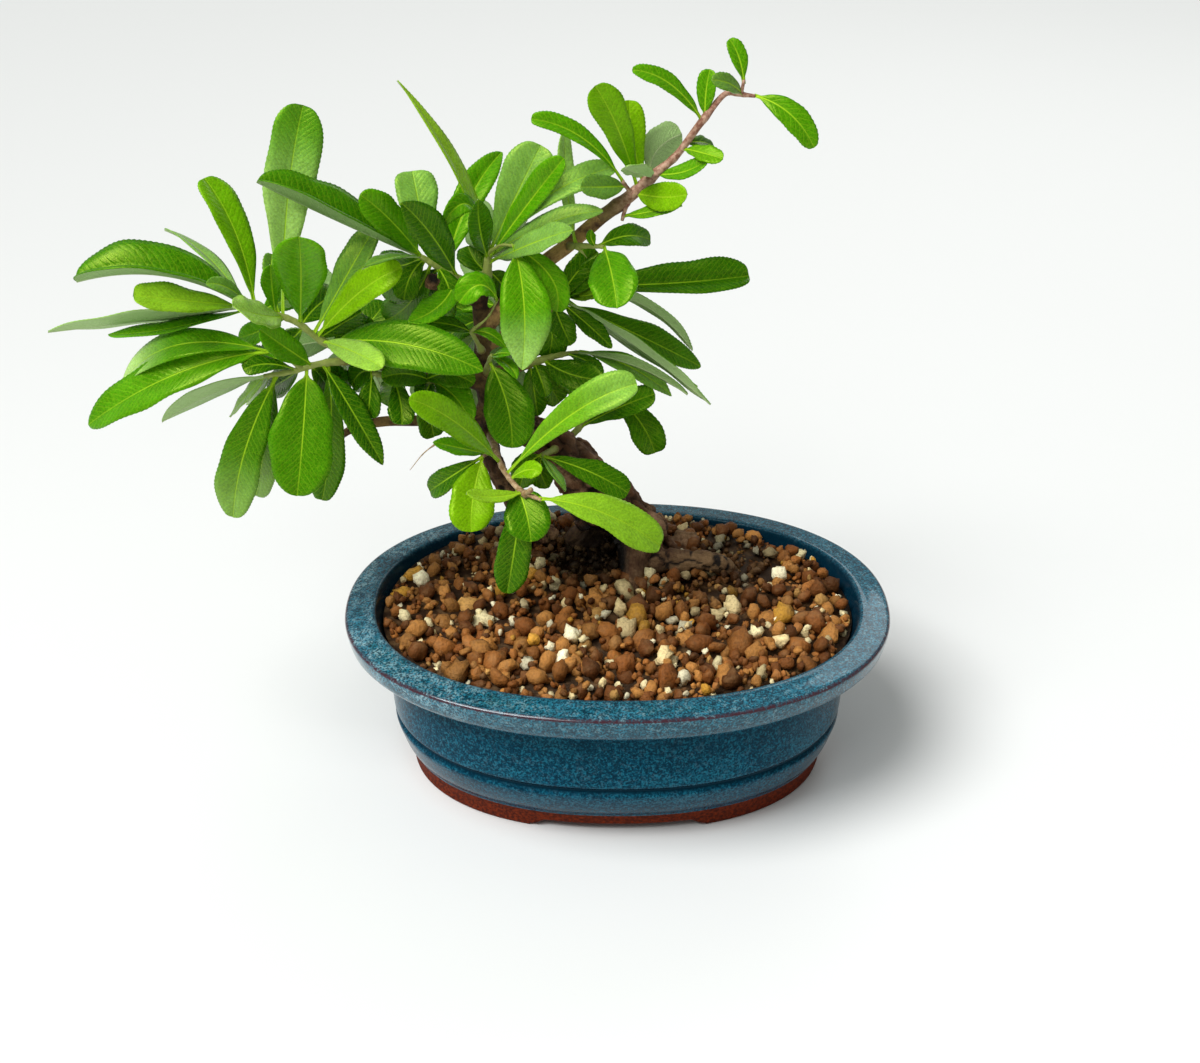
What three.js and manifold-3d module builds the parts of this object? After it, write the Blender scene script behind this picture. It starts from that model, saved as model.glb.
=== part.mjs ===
// A firethorn grown as a bonsai in an oval glazed pot. Millimetres, +Z up.
// The tree is placed as it is seen from one standpoint: a point is given by where it appears in a
// picture 1200 wide and 1063 high, and by its depth, which is its distance behind the pot's long axis.

import * as THREE from "three";
import { mergeVertices } from "three/addons/utils/BufferGeometryUtils.js";
import Module from "manifold-3d";

const wasm = await Module();
wasm.setup();

// The pot. Its section gives half lengths and heights: out under the floor, round the foot, up the wall
// with its groove and its lip, over the rim and down the inside to the floor.
const POT_LENGTH = 160;
const POT_WIDTH = 124;
const PLAN_POWER = 2.2;
const PLAN_LEAST_WIDTH = 0.55;
const POT_SIDES = 36;
const POT_SECTION = [
  [0, 3.6], [54.6, 3.6], [55.6, 0], [62.6, 0], [63.6, 6.2], [66.8, 10.2], [69.5, 15], [70.7, 18.3],
  [69.8, 19.9], [71.1, 21.6], [71.1, 39.6], [72.5, 40.8], [77.4, 42.4], [79.5, 45.8], [80, 49.4],
  [79.1, 50.7], [71.8, 51.4], [70.6, 50], [68.6, 45], [67, 40.8], [65.5, 14], [62, 9], [0, 9],
];
// The lip overhangs the body more at the pot's ends than at its sides: [height, share of the length]
const BODY_ENDS = [[0, 0.985], [6, 0.985], [10, 0.965], [15, 0.948], [20, 0.942], [40, 0.948], [45, 1]];
const FLOOR_TOP = 9;
const FOOT_GAP_WIDTH = 50;
const FOOT_GAP_HEIGHT = 3;
const DRAIN_RADIUS = 6;
const DRAIN_SIDES = 20;
const DRAINS = [-30, 30];

// The mesh screen over each drain hole
const SCREEN_SIZE = 22;
const SCREEN_THICKNESS = 1;
const SCREEN_HOLE = 4.4;
const SCREEN_HOLES_ACROSS = 3;

// The soil. It fills the pot to its edge height, mounds round the tree's foot and has grains on top.
const SOIL_SECTION = [[0, 9.35], [61.7, 9.35], [65.1, 14.2], [66.3, 40.8], [67.5, 44]];
const SOIL_EDGE = 67.9;
const SOIL_TOP_EDGE = 66.9;
const SOIL_EDGE_HEIGHT = 45;
const SOIL_RINGS = 4;
const MOUND_HEIGHT = 5.5;
const MOUND_CENTRE = new THREE.Vector2(0, 20);
const MOUND_REACH = 46;
const GRAIN_RADIUS = 5.6;
const GRAIN_SIZES = [0.8, 1.2];
const GRAIN_FLATTEN = 0.5;
const GRAIN_SPACING = 14;
const GRAIN_SCATTER = 0.5;
const GRAIN_EDGE_ROOM = 1;
const GRAIN_SEED = 11;

// Clearances: between pieces that touch, round a root in the soil, and round the foot of the trunk
const GAP = 0.35;
const ROOT_CLEARANCE = 0.5;
const FOOT_CLEARANCE = 1.2;

// The standpoint
const VIEW_TILT = THREE.MathUtils.degToRad(29);
const VIEW_DISTANCE = 560;
const PICTURE_FOCAL = 1898;
const PICTURE_MIDDLE = new THREE.Vector2(600, 531.5);
const AIM_IN_PICTURE = new THREE.Vector2(617.3, 599.5);
const AIM_HEIGHT = 51;

const AHEAD = new THREE.Vector3(0, Math.cos(VIEW_TILT), -Math.sin(VIEW_TILT));
const ACROSS = new THREE.Vector3(1, 0, 0);
const ABOVE = new THREE.Vector3(0, Math.sin(VIEW_TILT), Math.cos(VIEW_TILT));
const UP = new THREE.Vector3(0, 0, 1);
const AIM_SHIFT = AIM_IN_PICTURE.clone().sub(PICTURE_MIDDLE).multiplyScalar(VIEW_DISTANCE / PICTURE_FOCAL);
const EYE = new THREE.Vector3(0, 0, AIM_HEIGHT)
  .addScaledVector(AHEAD, -VIEW_DISTANCE)
  .addScaledVector(ACROSS, -AIM_SHIFT.x)
  .addScaledVector(ABOVE, AIM_SHIFT.y);

// The point that appears at (x, y) in the picture, at a depth behind the pot's long axis
function sight(x, y, depth) {
  const ray = AHEAD.clone()
    .addScaledVector(ACROSS, (x - PICTURE_MIDDLE.x) / PICTURE_FOCAL)
    .addScaledVector(ABOVE, (PICTURE_MIDDLE.y - y) / PICTURE_FOCAL);
  return EYE.clone().addScaledVector(ray, (depth - EYE.y) / ray.y);
}

// A repeatable stream of numbers from 0 to 1
function seeded(seed) {
  let state = seed;
  return () => {
    state = (state * 1664525 + 1013904223) % 4294967296;
    return state / 4294967296;
  };
}

// A closed solid from a geometry, with its shared vertices merged and its flat triangles dropped
function solid(geometry) {
  geometry.deleteAttribute("normal");
  geometry.deleteAttribute("uv");
  const merged = mergeVertices(geometry, 1e-4);
  const index = merged.index.array;
  const triangles = [];
  for (let i = 0; i < index.length; i += 3) {
    const [a, b, c] = index.slice(i, i + 3);
    if (a !== b && b !== c && c !== a) {
      triangles.push(a, b, c);
    }
  }
  const mesh = new wasm.Mesh({
    numProp: 3,
    vertProperties: new Float32Array(merged.attributes.position.array),
    triVerts: new Uint32Array(triangles),
  });
  return new wasm.Manifold(mesh);
}

function join(solids) {
  return solids.reduce((all, one) => all.add(one));
}

// The largest body of a joined solid, without the small hollows closed in it
function outermost(body) {
  return body.decompose().reduce((most, one) => (one.volume() > most.volume() ? one : most));
}

// A named mesh from a solid
function piece(name, body, colour, roughness) {
  const { vertProperties, triVerts } = body.getMesh();
  const geometry = new THREE.BufferGeometry();
  geometry.setAttribute("position", new THREE.BufferAttribute(vertProperties, 3));
  geometry.setIndex(new THREE.BufferAttribute(triVerts, 1));
  geometry.computeVertexNormals();
  const material = new THREE.MeshStandardMaterial({ color: colour, roughness, metalness: 0 });
  const mesh = new THREE.Mesh(geometry, material);
  mesh.name = name;
  return mesh;
}

// The oval plan: half its width where its half length is r
function shortHalf(r) {
  const inset = (POT_LENGTH - POT_WIDTH) / 2;
  return Math.max(r - inset, PLAN_LEAST_WIDTH * r);
}

// How long the plan is at a height, as a share of its length at the rim
function endShare(height) {
  const above = BODY_ENDS.findIndex(([level]) => level >= height);
  if (above === -1) {
    return 1;
  }
  const [high, highShare] = BODY_ENDS[above];
  const [low, lowShare] = BODY_ENDS[Math.max(above - 1, 0)];
  return high === low ? highShare : THREE.MathUtils.mapLinear(height, low, high, lowShare, highShare);
}

// A ring-shaped or solid body whose section is turned round the oval plan.
// The profile gives half lengths and heights, from the axis at the bottom to the axis at the top.
function ovalTurned(profile, lift = () => 0) {
  const points = profile.map(([r, z]) => new THREE.Vector2(r, z));
  const geometry = new THREE.LatheGeometry(points, POT_SIDES);
  geometry.rotateX(Math.PI / 2);
  const position = geometry.attributes.position;
  for (let i = 0; i < position.count; i += 1) {
    const r = Math.hypot(position.getX(i), position.getY(i));
    const angle = Math.atan2(position.getY(i), position.getX(i));
    const z = position.getZ(i);
    const x = endShare(z) * r * signedPower(Math.cos(angle));
    const y = shortHalf(r) * signedPower(Math.sin(angle));
    position.setXYZ(i, x, y, z + lift(x, y, z));
  }
  return solid(geometry);
}

function signedPower(value) {
  const tiny = 1e-9;
  return Math.abs(value) < tiny ? 0 : Math.sign(value) * Math.abs(value) ** (2 / PLAN_POWER);
}

// Where a point in space appears in the picture
function appearsAt(point) {
  const offset = point.clone().sub(EYE);
  const scale = PICTURE_FOCAL / offset.dot(AHEAD);
  return new THREE.Vector2(
    PICTURE_MIDDLE.x + scale * offset.dot(ACROSS),
    PICTURE_MIDDLE.y - scale * offset.dot(ABOVE),
  );
}

// A limb of wood along points in the picture. Each point is [x, y, depth, radius].
function limb(points, { sides = 6, stepsEach = 1, gnarl = 0, clearance = 0 } = {}) {
  const path = new THREE.CatmullRomCurve3(points.map(([x, y, depth]) => sight(x, y, depth)));
  const spans = points.length - 1;
  const steps = spans * stepsEach;
  const rings = [];
  let side = new THREE.Vector3(0, 1, 0);
  for (let ring = 0; ring <= steps; ring += 1) {
    const t = ring / steps;
    const ahead = path.getTangent(t);
    side = side.clone().addScaledVector(ahead, -side.dot(ahead)).normalize();
    const span = Math.min(Math.floor(t * spans), spans - 1);
    const radius = THREE.MathUtils.lerp(points[span][3], points[span + 1][3], t * spans - span);
    rings.push({ centre: path.getPoint(t), side, over: ahead.clone().cross(side), radius });
  }
  const geometry = new THREE.CylinderGeometry(1, 1, 1, sides, steps);
  const position = geometry.attributes.position;
  const place = new THREE.Vector3();
  for (let i = 0; i < position.count; i += 1) {
    const ring = Math.round((0.5 - position.getY(i)) * steps);
    const { centre, side: across, over, radius } = rings[ring];
    const angle = Math.atan2(position.getZ(i), position.getX(i));
    const reach = Math.hypot(position.getX(i), position.getZ(i));
    const lobes = 1 + gnarl * (Math.sin(3 * angle + ring) + Math.sin(2 * angle - 2 * ring));
    const r = reach * (radius * lobes + clearance);
    place.copy(centre).addScaledVector(across, r * Math.cos(angle));
    place.addScaledVector(over, r * Math.sin(angle));
    position.setXYZ(i, place.x, place.y, place.z);
  }
  return solid(geometry);
}

// Where the rows of a leaf's faces lie along it, from its stalk to its tip
const LEAF_ROWS = [0, 0.14, 0.38, 0.64, 0.88, 1];
const STALK_SHARE = 0.08;
const STALK_HALF_WIDTH = 0.6;
const WIDEST_AT = 2 / 3;
const LEAF_THICKNESS = 0.9;
const LEAF_FOLD = 0.28;
const LEAF_SINK = 0.2;

// Half the width of a leaf of unit width: a narrow stalk, widest past the middle, and a round tip
function leafHalfWidth(t) {
  const s = Math.max(0, (t - STALK_SHARE) / (1 - STALK_SHARE));
  return (s * Math.sqrt(1 - s)) / (2 * WIDEST_AT * Math.sqrt(1 - WIDEST_AT));
}

// A leaf whose rib runs from its base through its middle to its tip. With no turn its upper face looks at
// the standpoint. A turn tips that face up, and past 90 degrees it shows its underside.
function leaf(base, middle, tip, width, turnDegrees) {
  const along = tip.clone().sub(base).normalize();
  const facing = EYE.clone().sub(middle);
  facing.addScaledVector(along, -facing.dot(along)).normalize();
  const upward = facing.clone().cross(along);
  if (upward.dot(UP) < 0) {
    upward.negate();
  }
  const turn = THREE.MathUtils.degToRad(turnDegrees);
  const face = facing.multiplyScalar(Math.cos(turn)).addScaledVector(upward, Math.sin(turn));
  const bend = middle.clone().multiplyScalar(2).addScaledVector(base, -0.5).addScaledVector(tip, -0.5);
  const rib = new THREE.QuadraticBezierCurve3(base, bend, tip);
  const last = LEAF_ROWS.length - 1;
  const tops = [];
  const undersides = [];
  LEAF_ROWS.forEach((t, row) => {
    const centre = rib.getPoint(t);
    const ahead = rib.getTangent(t);
    const across = face.clone().cross(ahead).normalize();
    const normal = ahead.cross(across);
    const half = row === last ? 0 : Math.max(width * leafHalfWidth(t), STALK_HALF_WIDTH);
    const rise = half * LEAF_FOLD;
    const thick = row === last ? 0 : LEAF_THICKNESS;
    tops.push(centre.clone().addScaledVector(across, -half).addScaledVector(normal, rise));
    tops.push(centre.clone());
    tops.push(centre.clone().addScaledVector(across, half).addScaledVector(normal, rise));
    undersides.push(centre.clone().addScaledVector(normal, -thick));
  });
  const faces = [0, 1, tops.length, 1, 2, tops.length];
  for (let row = 0; row < last; row += 1) {
    const [a, m, r, A, M, R] = [0, 1, 2, 3, 4, 5].map((k) => 3 * row + k);
    const [b, B] = [tops.length + row, tops.length + row + 1];
    faces.push(a, A, M, a, M, m, m, M, r, M, R, r);
    faces.push(a, B, A, a, b, B, b, r, B, B, r, R);
  }
  const geometry = new THREE.BufferGeometry().setFromPoints([...tops, ...undersides]);
  geometry.setIndex(faces);
  return solid(geometry);
}

// The wood. Each point is [x, y, depth, radius].
const WOOD = {
  stump: [
    [654, 548, 22, 7.5], [628, 531, 22, 10], [594, 496, 22, 8.8], [570, 464, 21, 7.2],
    [540, 440, 19, 4.8], [512, 421, 17, 4.2], [491, 398, 16, 3.6],
  ],
  leader: [
    [491, 400, 16, 3.5], [483, 370, 15, 3.1], [487, 340, 15, 2.8], [481, 306, 15, 2.5],
    [485, 282, 14.5, 2.1],
  ],
  leg: [
    [488, 392, 16, 2.8], [487, 430, 17, 2.8], [497, 470, 20, 3], [521, 506, 27, 3.4],
    [545, 538, 32, 3.7],
  ],
  branchLeft: [
    [486, 385, 15, 2.4], [455, 378, 12, 2], [415, 372, 8, 1.9], [385, 366, 4, 1.7], [356, 354, 1.5, 1.5],
  ],
  branchLow: [
    [489, 410, 16, 2.2], [455, 420, 15, 1.8], [415, 421, 14, 1.6], [380, 422, 13, 1.5],
    [350, 430, 12, 1.3], [336, 440, 12, 1],
  ],
  branchRight: [
    [485, 330, 15, 2.3], [515, 290, 16, 2.2], [545, 262, 17, 2.1], [571, 243, 18, 2.1],
    [604, 215, 19, 2],
  ],
  stub: [[480, 304, 15, 2.1], [457, 287, 11, 2.2], [430, 282, 6, 1.9]],
  branchK: [[487, 345, 16, 2], [505, 336, 19, 1.8], [518, 328, 20.5, 1.6]],
  branchKLow: [[485, 376, 16, 2], [508, 369, 18, 1.7], [526, 365, 18.6, 1.5]],
  spur: [[655, 545, 24, 5.2], [672, 556, 28, 5.2], [685, 545, 31, 4.8], [686, 531, 33, 3.6]],
  lump: [[604, 520, 24, 4], [590, 536, 25, 5], [576, 548, 26, 4], [568, 556, 27, 2.4]],
};

// The roots, which go down into the soil
const ROOTS = {
  rootFront: [[634, 540, 16, 4.4], [633, 566, 12, 4.2], [634, 602, 7, 4.2], [634, 634, 7, 3]],
  rootRight: [
    [646, 556, 17, 4.2], [676, 562, 16, 3.5], [706, 563, 16, 3.4], [726, 574, 17, 2.6], [742, 590, 18, 1.4],
  ],
  rootLeft: [[545, 532, 31, 3.8], [547, 552, 34, 3.7], [547, 576, 35, 3.2], [547, 596, 35, 2.4]],
  rootBack: [[634, 545, 28, 5], [620, 560, 34, 4.4], [614, 590, 37, 3]],
};

// The leafy shoots. A twig's point is [x, y, depth, radius], and it starts just off the wood that bears it.
// A leaf is [base, middle, tip, tip depth, width, bow, turn]: three places in the picture along its rib,
// with its base on the nearest twig.
const SHOOTS = {
  shoot_left_high: {
    twigs: [
      [
        [350, 351.5, 1, 1.4], [322, 341, -2, 1.3], [296, 322, -4, 1.2], [268, 312, -5.5, 1.1], [246, 306, -6, 0.8],
      ],
    ],
    leaves: [
      [[244, 312], [146, 319], [48, 331], 10, 11, 0.02, 110],
      [[247, 300], [158, 262], [75, 281], -12, 12.5, 0.05, 45],
      [[244, 308], [187, 301], [133, 295], -20, 10, 0.06, 40],
      [[249, 315], [172, 328], [108, 334], 4, 9.5, 0.04, 70],
      [[255, 305], [231, 238], [204, 178], 4, 9.8, 0.04, 30],
      [[248, 299], [203, 253], [165, 229], 26, 8.5, 0.04, 65],
      [[251, 304], [228, 288], [206, 284], -16, 5, 0.06, 40],
      [[286, 308], [287, 205], [303, 105], 6, 14.4, 0.03, 0],
      [[302, 322], [298, 278], [298, 237], -20, 12, 0.05, 0],
      [[316, 330], [351, 268], [378, 222], 8, 9, 0.04, 30],
      [[319, 334], [360, 292], [402, 268], -8, 9.5, 0.05, 25],
      [[276, 313], [272, 288], [270, 265], -12, 6, 0.06, 15],
      [[279, 313], [272, 280], [272, 254], 2, 5.5, 0.05, 20],
      [[284, 315], [260, 316], [233, 306], -22, 7, 0.08, 45],
      [[322, 341], [354, 352], [382, 368], -22, 8, 0.08, 25],
      [[326, 342], [404, 344], [483, 371], -18, 14, 0.06, 30],
    ],
  },
  shoot_left_low: {
    twigs: [
      [[345, 361, -1.5, 1.3], [318, 364, -5, 1.2], [290, 372, -7, 1], [264, 376, -7, 0.8]],
      [[302, 368, -6, 0.9], [285, 357, -9, 0.8], [269, 351, -10, 0.7]],
    ],
    leaves: [
      [[270, 351], [176, 378], [90, 423], -10, 12, 0.06, 30],
      [[273, 352], [178, 345], [123, 384], 0, 11, 0.1, 45],
      [[266, 374], [214, 392], [162, 421], 10, 8.5, 0.04, 120],
      [[265, 377], [248, 394], [229, 417], 4, 5, 0.05, 55],
      [[270, 376], [258, 390], [246, 405], 12, 5, 0.05, 50],
      [[296, 370], [268, 364], [243, 370], -14, 5.5, 0.06, 30],
      [[312, 365], [286, 348], [260, 330], -18, 8, 0.06, 15],
      [[307, 367], [303, 432], [297, 496], -20, 17.5, 0.04, 0],
      [[279, 375], [249, 447], [233, 517], -12, 12, 0.05, 5],
      [[275, 376], [266, 436], [256, 496], 2, 10, 0.04, 10],
      [[328, 363], [331, 430], [322, 500], 2, 9, 0.04, 5],
      [[322, 364], [352, 411], [383, 465], -10, 8.2, 0.04, 20],
    ],
  },
  shoot_left_inner: {
    twigs: [[[432, 382, 5.5, 1.3], [404, 380, 1.5, 1.2], [372, 373, -1, 1]]],
    leaves: [
      [[372, 373], [370, 396], [368, 418], -6, 7.5, 0.04, 10],
      [[392, 378], [400, 400], [402, 425], -10, 7.5, 0.04, 0],
      [[424, 382], [428, 408], [434, 437], 8, 8, 0.04, 10],
      [[430, 382], [426, 392], [418, 402], -3, 7, 0.06, 10],
      [[432, 382], [456, 398], [470, 424], -6, 9, 0.04, 0],
    ],
  },
  shoot_upper_left: {
    twigs: [[[458, 279, 8, 1.4], [440, 268, 6, 1.3], [420, 256, 4, 1]]],
    leaves: [
      [[420, 257], [338, 202], [257, 181], -8, 9, 0.06, 35],
      [[422, 257], [390, 220], [360, 195], -6, 9.5, 0.05, 15],
      [[430, 262], [420, 210], [412, 171], 14, 11.8, 0.05, 10],
      [[454, 277], [428, 232], [401, 202], -10, 9, 0.05, 20],
      [[419, 256], [390, 258], [362, 268], -20, 5.5, 0.03, 70],
      [[455, 278], [440, 305], [408, 322], -10, 8.5, 0.08, 35],
      [[425, 260], [411, 275], [404, 300], 0, 7, 0.04, 10],
      [[446, 271], [468, 202], [502, 152], 29, 9, 0.05, 10],
      [[436, 266], [448, 286], [450, 306], 2, 7, 0.04, 10],
    ],
  },
  shoot_top: {
    twigs: [
      [[486.5, 277, 14, 1.9], [488, 262, 13, 1.6], [489, 248, 13, 1]],
      [[489, 252, 13, 0.9], [502, 245, 9, 0.8], [514, 246, 6, 0.7]],
    ],
    leaves: [
      [[486, 254], [456, 168], [398, 80], 8, 8, 0.03, 65],
      [[487, 251], [462, 212], [441, 222], 0, 6, 0.08, 50],
      [[486, 259], [480, 230], [478, 200], -6, 7, 0.05, 20],
      [[488, 254], [517, 200], [541, 145], 16, 13.8, 0.05, 5],
      [[490, 259], [525, 208], [564, 158], 0, 7.5, 0.04, 25],
      [[490, 263], [536, 242], [573, 230], -8, 7.5, 0.08, 35],
      [[489, 257], [548, 224], [603, 211], 8, 7.5, 0.05, 45],
      [[489, 250], [546, 197], [615, 167], 18, 8, 0.05, 30],
      [[514, 247], [524, 306], [522, 370], -8, 13.8, 0.04, 0],
      [[511, 246], [550, 276], [557, 312], 2, 8.5, 0.06, 0],
      [[488, 255], [478, 224], [470, 196], 42, 11, 0.08, 160],
      [[489, 251], [510, 216], [528, 182], 44, 11, 0.08, 160],
      [[489, 258], [514, 246], [540, 236], 44, 10, 0.1, 150],
    ],
  },
  shoot_middle: {
    twigs: [
      [[478, 344, 9.5, 1.2], [471, 331, 6, 1]],
      [[471, 331, 6, 0.8], [488, 317, 1, 0.7], [497, 301, -2, 0.6]],
    ],
    leaves: [
      [[497, 302], [480, 285], [459, 303], -6, 8, 0.1, 30],
      [[472, 332], [490, 334], [506, 348], 4, 4, 0.05, 35],
      [[472, 333], [452, 325], [425, 322], 4, 5.5, 0.05, 40],
    ],
  },
  shoot_middle_low: {
    twigs: [[[488, 366, 10, 1.3], [490, 358, 5, 1], [492, 355, 2, 0.8]]],
    leaves: [
      [[489, 361], [507, 404], [512, 448], -6, 13.5, 0.04, 0],
      [[491, 357], [507, 364], [517, 379], -4, 4, 0.06, 30],
      [[491, 356], [501, 353], [511, 354], -6, 4, 0.06, 50],
    ],
  },
  shoot_front: {
    twigs: [
      [
        [492, 437, 12, 1.5], [497, 455, -4, 1.4], [505, 472, -13, 1.5], [520, 490, -20, 1.4], [541, 500, -27, 0.9],
      ],
      [[495, 450, -1, 1], [482, 457, -7, 0.8]],
    ],
    leaves: [
      [[500, 463], [455, 422], [409, 399], -26, 8.2, 0.06, 20],
      [[488, 454], [460, 448], [433, 442], -10, 5.5, 0.04, 35],
      [[482, 457], [452, 476], [430, 491], -2, 7.2, 0.05, 15],
      [[483, 457], [473, 496], [471, 532], -20, 13.2, 0.04, 0],
      [[521, 493], [493, 497], [467, 493], -30, 5, 0.03, 40],
      [[516, 487], [526, 512], [531, 542], -30, 12.7, 0.04, 0],
      [[522, 492], [515, 545], [507, 593], -26, 9.8, 0.04, 0],
      [[511, 478], [527, 470], [541, 473], -22, 5.2, 0.04, 25],
      [[540, 499], [601, 512], [660, 546], -26, 11.4, 0.06, 25],
      [[508, 473], [571, 415], [637, 384], -18, 10, 0.05, 20],
    ],
  },
  shoot_trunk: {
    twigs: [
      [[549, 452, 9.5, 1.2], [541, 456, 5, 1]],
    ],
    leaves: [
      [[541, 456], [588, 471], [628, 493], 2, 8.4, 0.04, 15],
      [[542, 456], [552, 470], [566, 491], -6, 6, 0.02, 65],
    ],
  },
  shoot_trunk_high: {
    twigs: [[[572, 435, 24, 1.3], [582, 425, 26, 1.1], [596, 408, 27, 0.8], [612, 396, 28, 0.7]]],
    leaves: [
      [[580, 427], [618, 408], [655, 394], 18, 8.5, 0.04, 25],
      [[611, 397], [638, 419], [655, 453], 22, 9.5, 0.08, 0],
    ],
  },
  shoot_right_inner: {
    twigs: [[[521, 326, 21, 1.5], [545, 313, 23, 1.3], [563, 300, 26, 1.1], [572, 284, 28, 0.8]]],
    leaves: [
      [[571, 286], [660, 281], [749, 277], 30, 10, 0.02, 30],
      [[570, 290], [640, 302], [693, 350], 22, 5.5, 0.03, 50],
      [[563, 302], [640, 336], [701, 367], 34, 9, 0.03, 20],
      [[564, 300], [638, 346], [711, 404], 10, 6.5, 0.03, 55],
      [[566, 298], [640, 352], [698, 386], 18, 4.5, 0.02, 60],
      [[562, 304], [588, 325], [612, 348], 16, 6, 0.05, 25],
      [[556, 308], [562, 326], [571, 345], 14, 7, 0.05, 10],
      [[567, 297], [584, 296], [598, 292], 20, 3.5, 0.04, 30],
    ],
  },
  shoot_right_low: {
    twigs: [[[529, 364, 19, 1.4], [548, 358, 20, 1.3], [565, 354, 21, 1], [580, 352, 22, 0.7]]],
    leaves: [
      [[578, 353], [634, 364], [688, 394], 12, 6, 0.04, 55],
      [[580, 353], [628, 366], [672, 396], 22, 6.5, 0.05, 30],
      [[544, 360], [570, 374], [604, 380], 8, 9.5, 0.05, 10],
      [[566, 354], [588, 362], [603, 377], 14, 4.5, 0.05, 30],
      [[534, 364], [541, 380], [546, 397], 10, 5.5, 0.04, 10],
    ],
  },
  shoot_right_hanging: {
    twigs: [[[576, 246, 14.5, 1.2], [590, 246, 12, 1], [604, 247, 9, 0.7]]],
    leaves: [
      [[604, 247], [612, 276], [617, 308], -10, 13.4, 0.05, 0],
      [[598, 246], [626, 236], [650, 240], 20, 6.8, 0.08, 20],
      [[596, 246], [591, 238], [592, 230], 12, 3, 0.03, 20],
      [[577, 246], [567, 190], [565, 132], 28, 6, 0.02, 45],
    ],
  },
  shoot_right_tip: {
    twigs: [
      [
        [606, 213.5, 19.1, 2], [630, 196, 20, 2], [656, 173, 20, 1.8], [672, 154, 20, 1.4],
        [700, 117, 20, 1.3], [728, 95, 20, 1.1], [747, 95, 20, 0.8],
      ],
      [[632, 194, 20, 0.9], [622, 181, 17, 0.7]],
      [[630, 198, 20, 0.9], [625, 210, 18, 0.8], [622, 221, 17, 0.6]],
      [[741, 95, 20, 0.7], [744, 80, 19, 0.6]],
    ],
    leaves: [
      [[622, 182], [582, 138], [531, 119], 14, 5.8, 0.03, 30],
      [[638, 188], [616, 132], [595, 86], 12, 9.3, 0.04, 10],
      [[642, 184], [633, 140], [629, 100], 24, 8, 0.04, 10],
      [[650, 178], [655, 152], [681, 134], 34, 11, 0.05, 150],
      [[653, 176], [640, 173], [625, 167], 8, 7, 0.04, 125],
      [[626, 186], [604, 187], [581, 187], 8, 7.2, 0.05, 15],
      [[624, 216], [650, 212], [682, 205], 12, 5.5, 0.04, 50],
      [[636, 194], [662, 197], [687, 194], 8, 8.2, 0.06, 15],
      [[655, 174], [683, 172], [708, 159], 14, 5.5, 0.05, 35],
      [[680, 144], [703, 153], [723, 159], 12, 5.5, 0.06, 30],
      [[684, 140], [702, 142], [715, 148], 26, 5, 0.05, 50],
      [[698, 119], [667, 88], [632, 70], 16, 5.2, 0.04, 25],
      [[701, 116], [706, 92], [710, 69], 22, 5.8, 0.04, 15],
      [[743, 94], [730, 84], [712, 80], 12, 5.2, 0.05, 35],
      [[744, 83], [739, 58], [729, 39], 22, 4.9, 0.04, 20],
      [[747, 95], [786, 116], [814, 148], 14, 7.2, 0.06, 15],
    ],
  },
  shoot_back_high: {
    twigs: [[[487, 322, 19.5, 1.5], [493, 314, 28, 1.3], [498, 307, 36, 0.9]]],
    leaves: [
      [[498, 307], [480, 276], [466, 252], 46, 10, 0.08, 160],
      [[497, 308], [520, 282], [540, 262], 50, 10.5, 0.08, 165],
      [[496, 309], [526, 308], [556, 316], 46, 9.5, 0.1, 150],
      [[498, 307], [470, 300], [444, 300], 48, 10, 0.1, 150],
      [[497, 307], [503, 330], [504, 346], 58, 9.5, 0.05, 170],
      [[492, 316], [516, 332], [536, 356], 36, 9, 0.08, 140],
      [[491, 317], [464, 326], [440, 344], 34, 9.5, 0.08, 140],
    ],
  },
  shoot_back_left: {
    twigs: [[[372, 357, 5.5, 1.4], [360, 347, 15, 1.2], [350, 339, 23, 0.9]]],
    leaves: [
      [[350, 339], [330, 302], [306, 270], 34, 11, 0.08, 160],
      [[351, 340], [358, 300], [362, 262], 40, 10, 0.08, 165],
      [[352, 341], [380, 326], [404, 318], 34, 10, 0.1, 150],
      [[350, 340], [312, 342], [276, 352], 30, 10, 0.1, 150],
      [[350, 339], [340, 372], [326, 406], 40, 10, 0.08, 170],
      [[357, 345], [374, 372], [388, 402], 26, 9, 0.08, 150],
    ],
  },
  shoot_back_low: {
    twigs: [[[483, 392, 20.5, 1.4], [478, 386, 29, 1.2], [474, 382, 36, 0.9]]],
    leaves: [
      [[474, 382], [450, 360], [428, 344], 48, 10.5, 0.08, 155],
      [[475, 383], [494, 364], [514, 346], 44, 10, 0.08, 160],
      [[476, 384], [504, 382], [530, 388], 44, 10, 0.1, 150],
      [[474, 382], [466, 406], [456, 430], 50, 9.5, 0.08, 170],
      [[477, 385], [446, 388], [414, 398], 38, 9.5, 0.1, 150],
    ],
  },
};

const THICK_WOOD = ["stump", "spur", "lump"];
const WOOD_IN_SOIL = ["stump", "spur", "lump", "leg"];
const THICK = { sides: 9, stepsEach: 2, gnarl: 0.07 };
const THIN = { sides: 6, stepsEach: 1, gnarl: 0.05 };
const ROOT = { sides: 8, stepsEach: 2, gnarl: 0.05 };
const TWIG = { sides: 5 };
const TWIG_SAMPLES = 60;

function trunk() {
  const wood = Object.entries(WOOD).map(([name, points]) => {
    const look = THICK_WOOD.includes(name) ? THICK : THIN;
    return limb(points, look);
  });
  const roots = Object.values(ROOTS).map((points) => limb(points, ROOT));
  return outermost(join([...wood, ...roots]));
}

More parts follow.
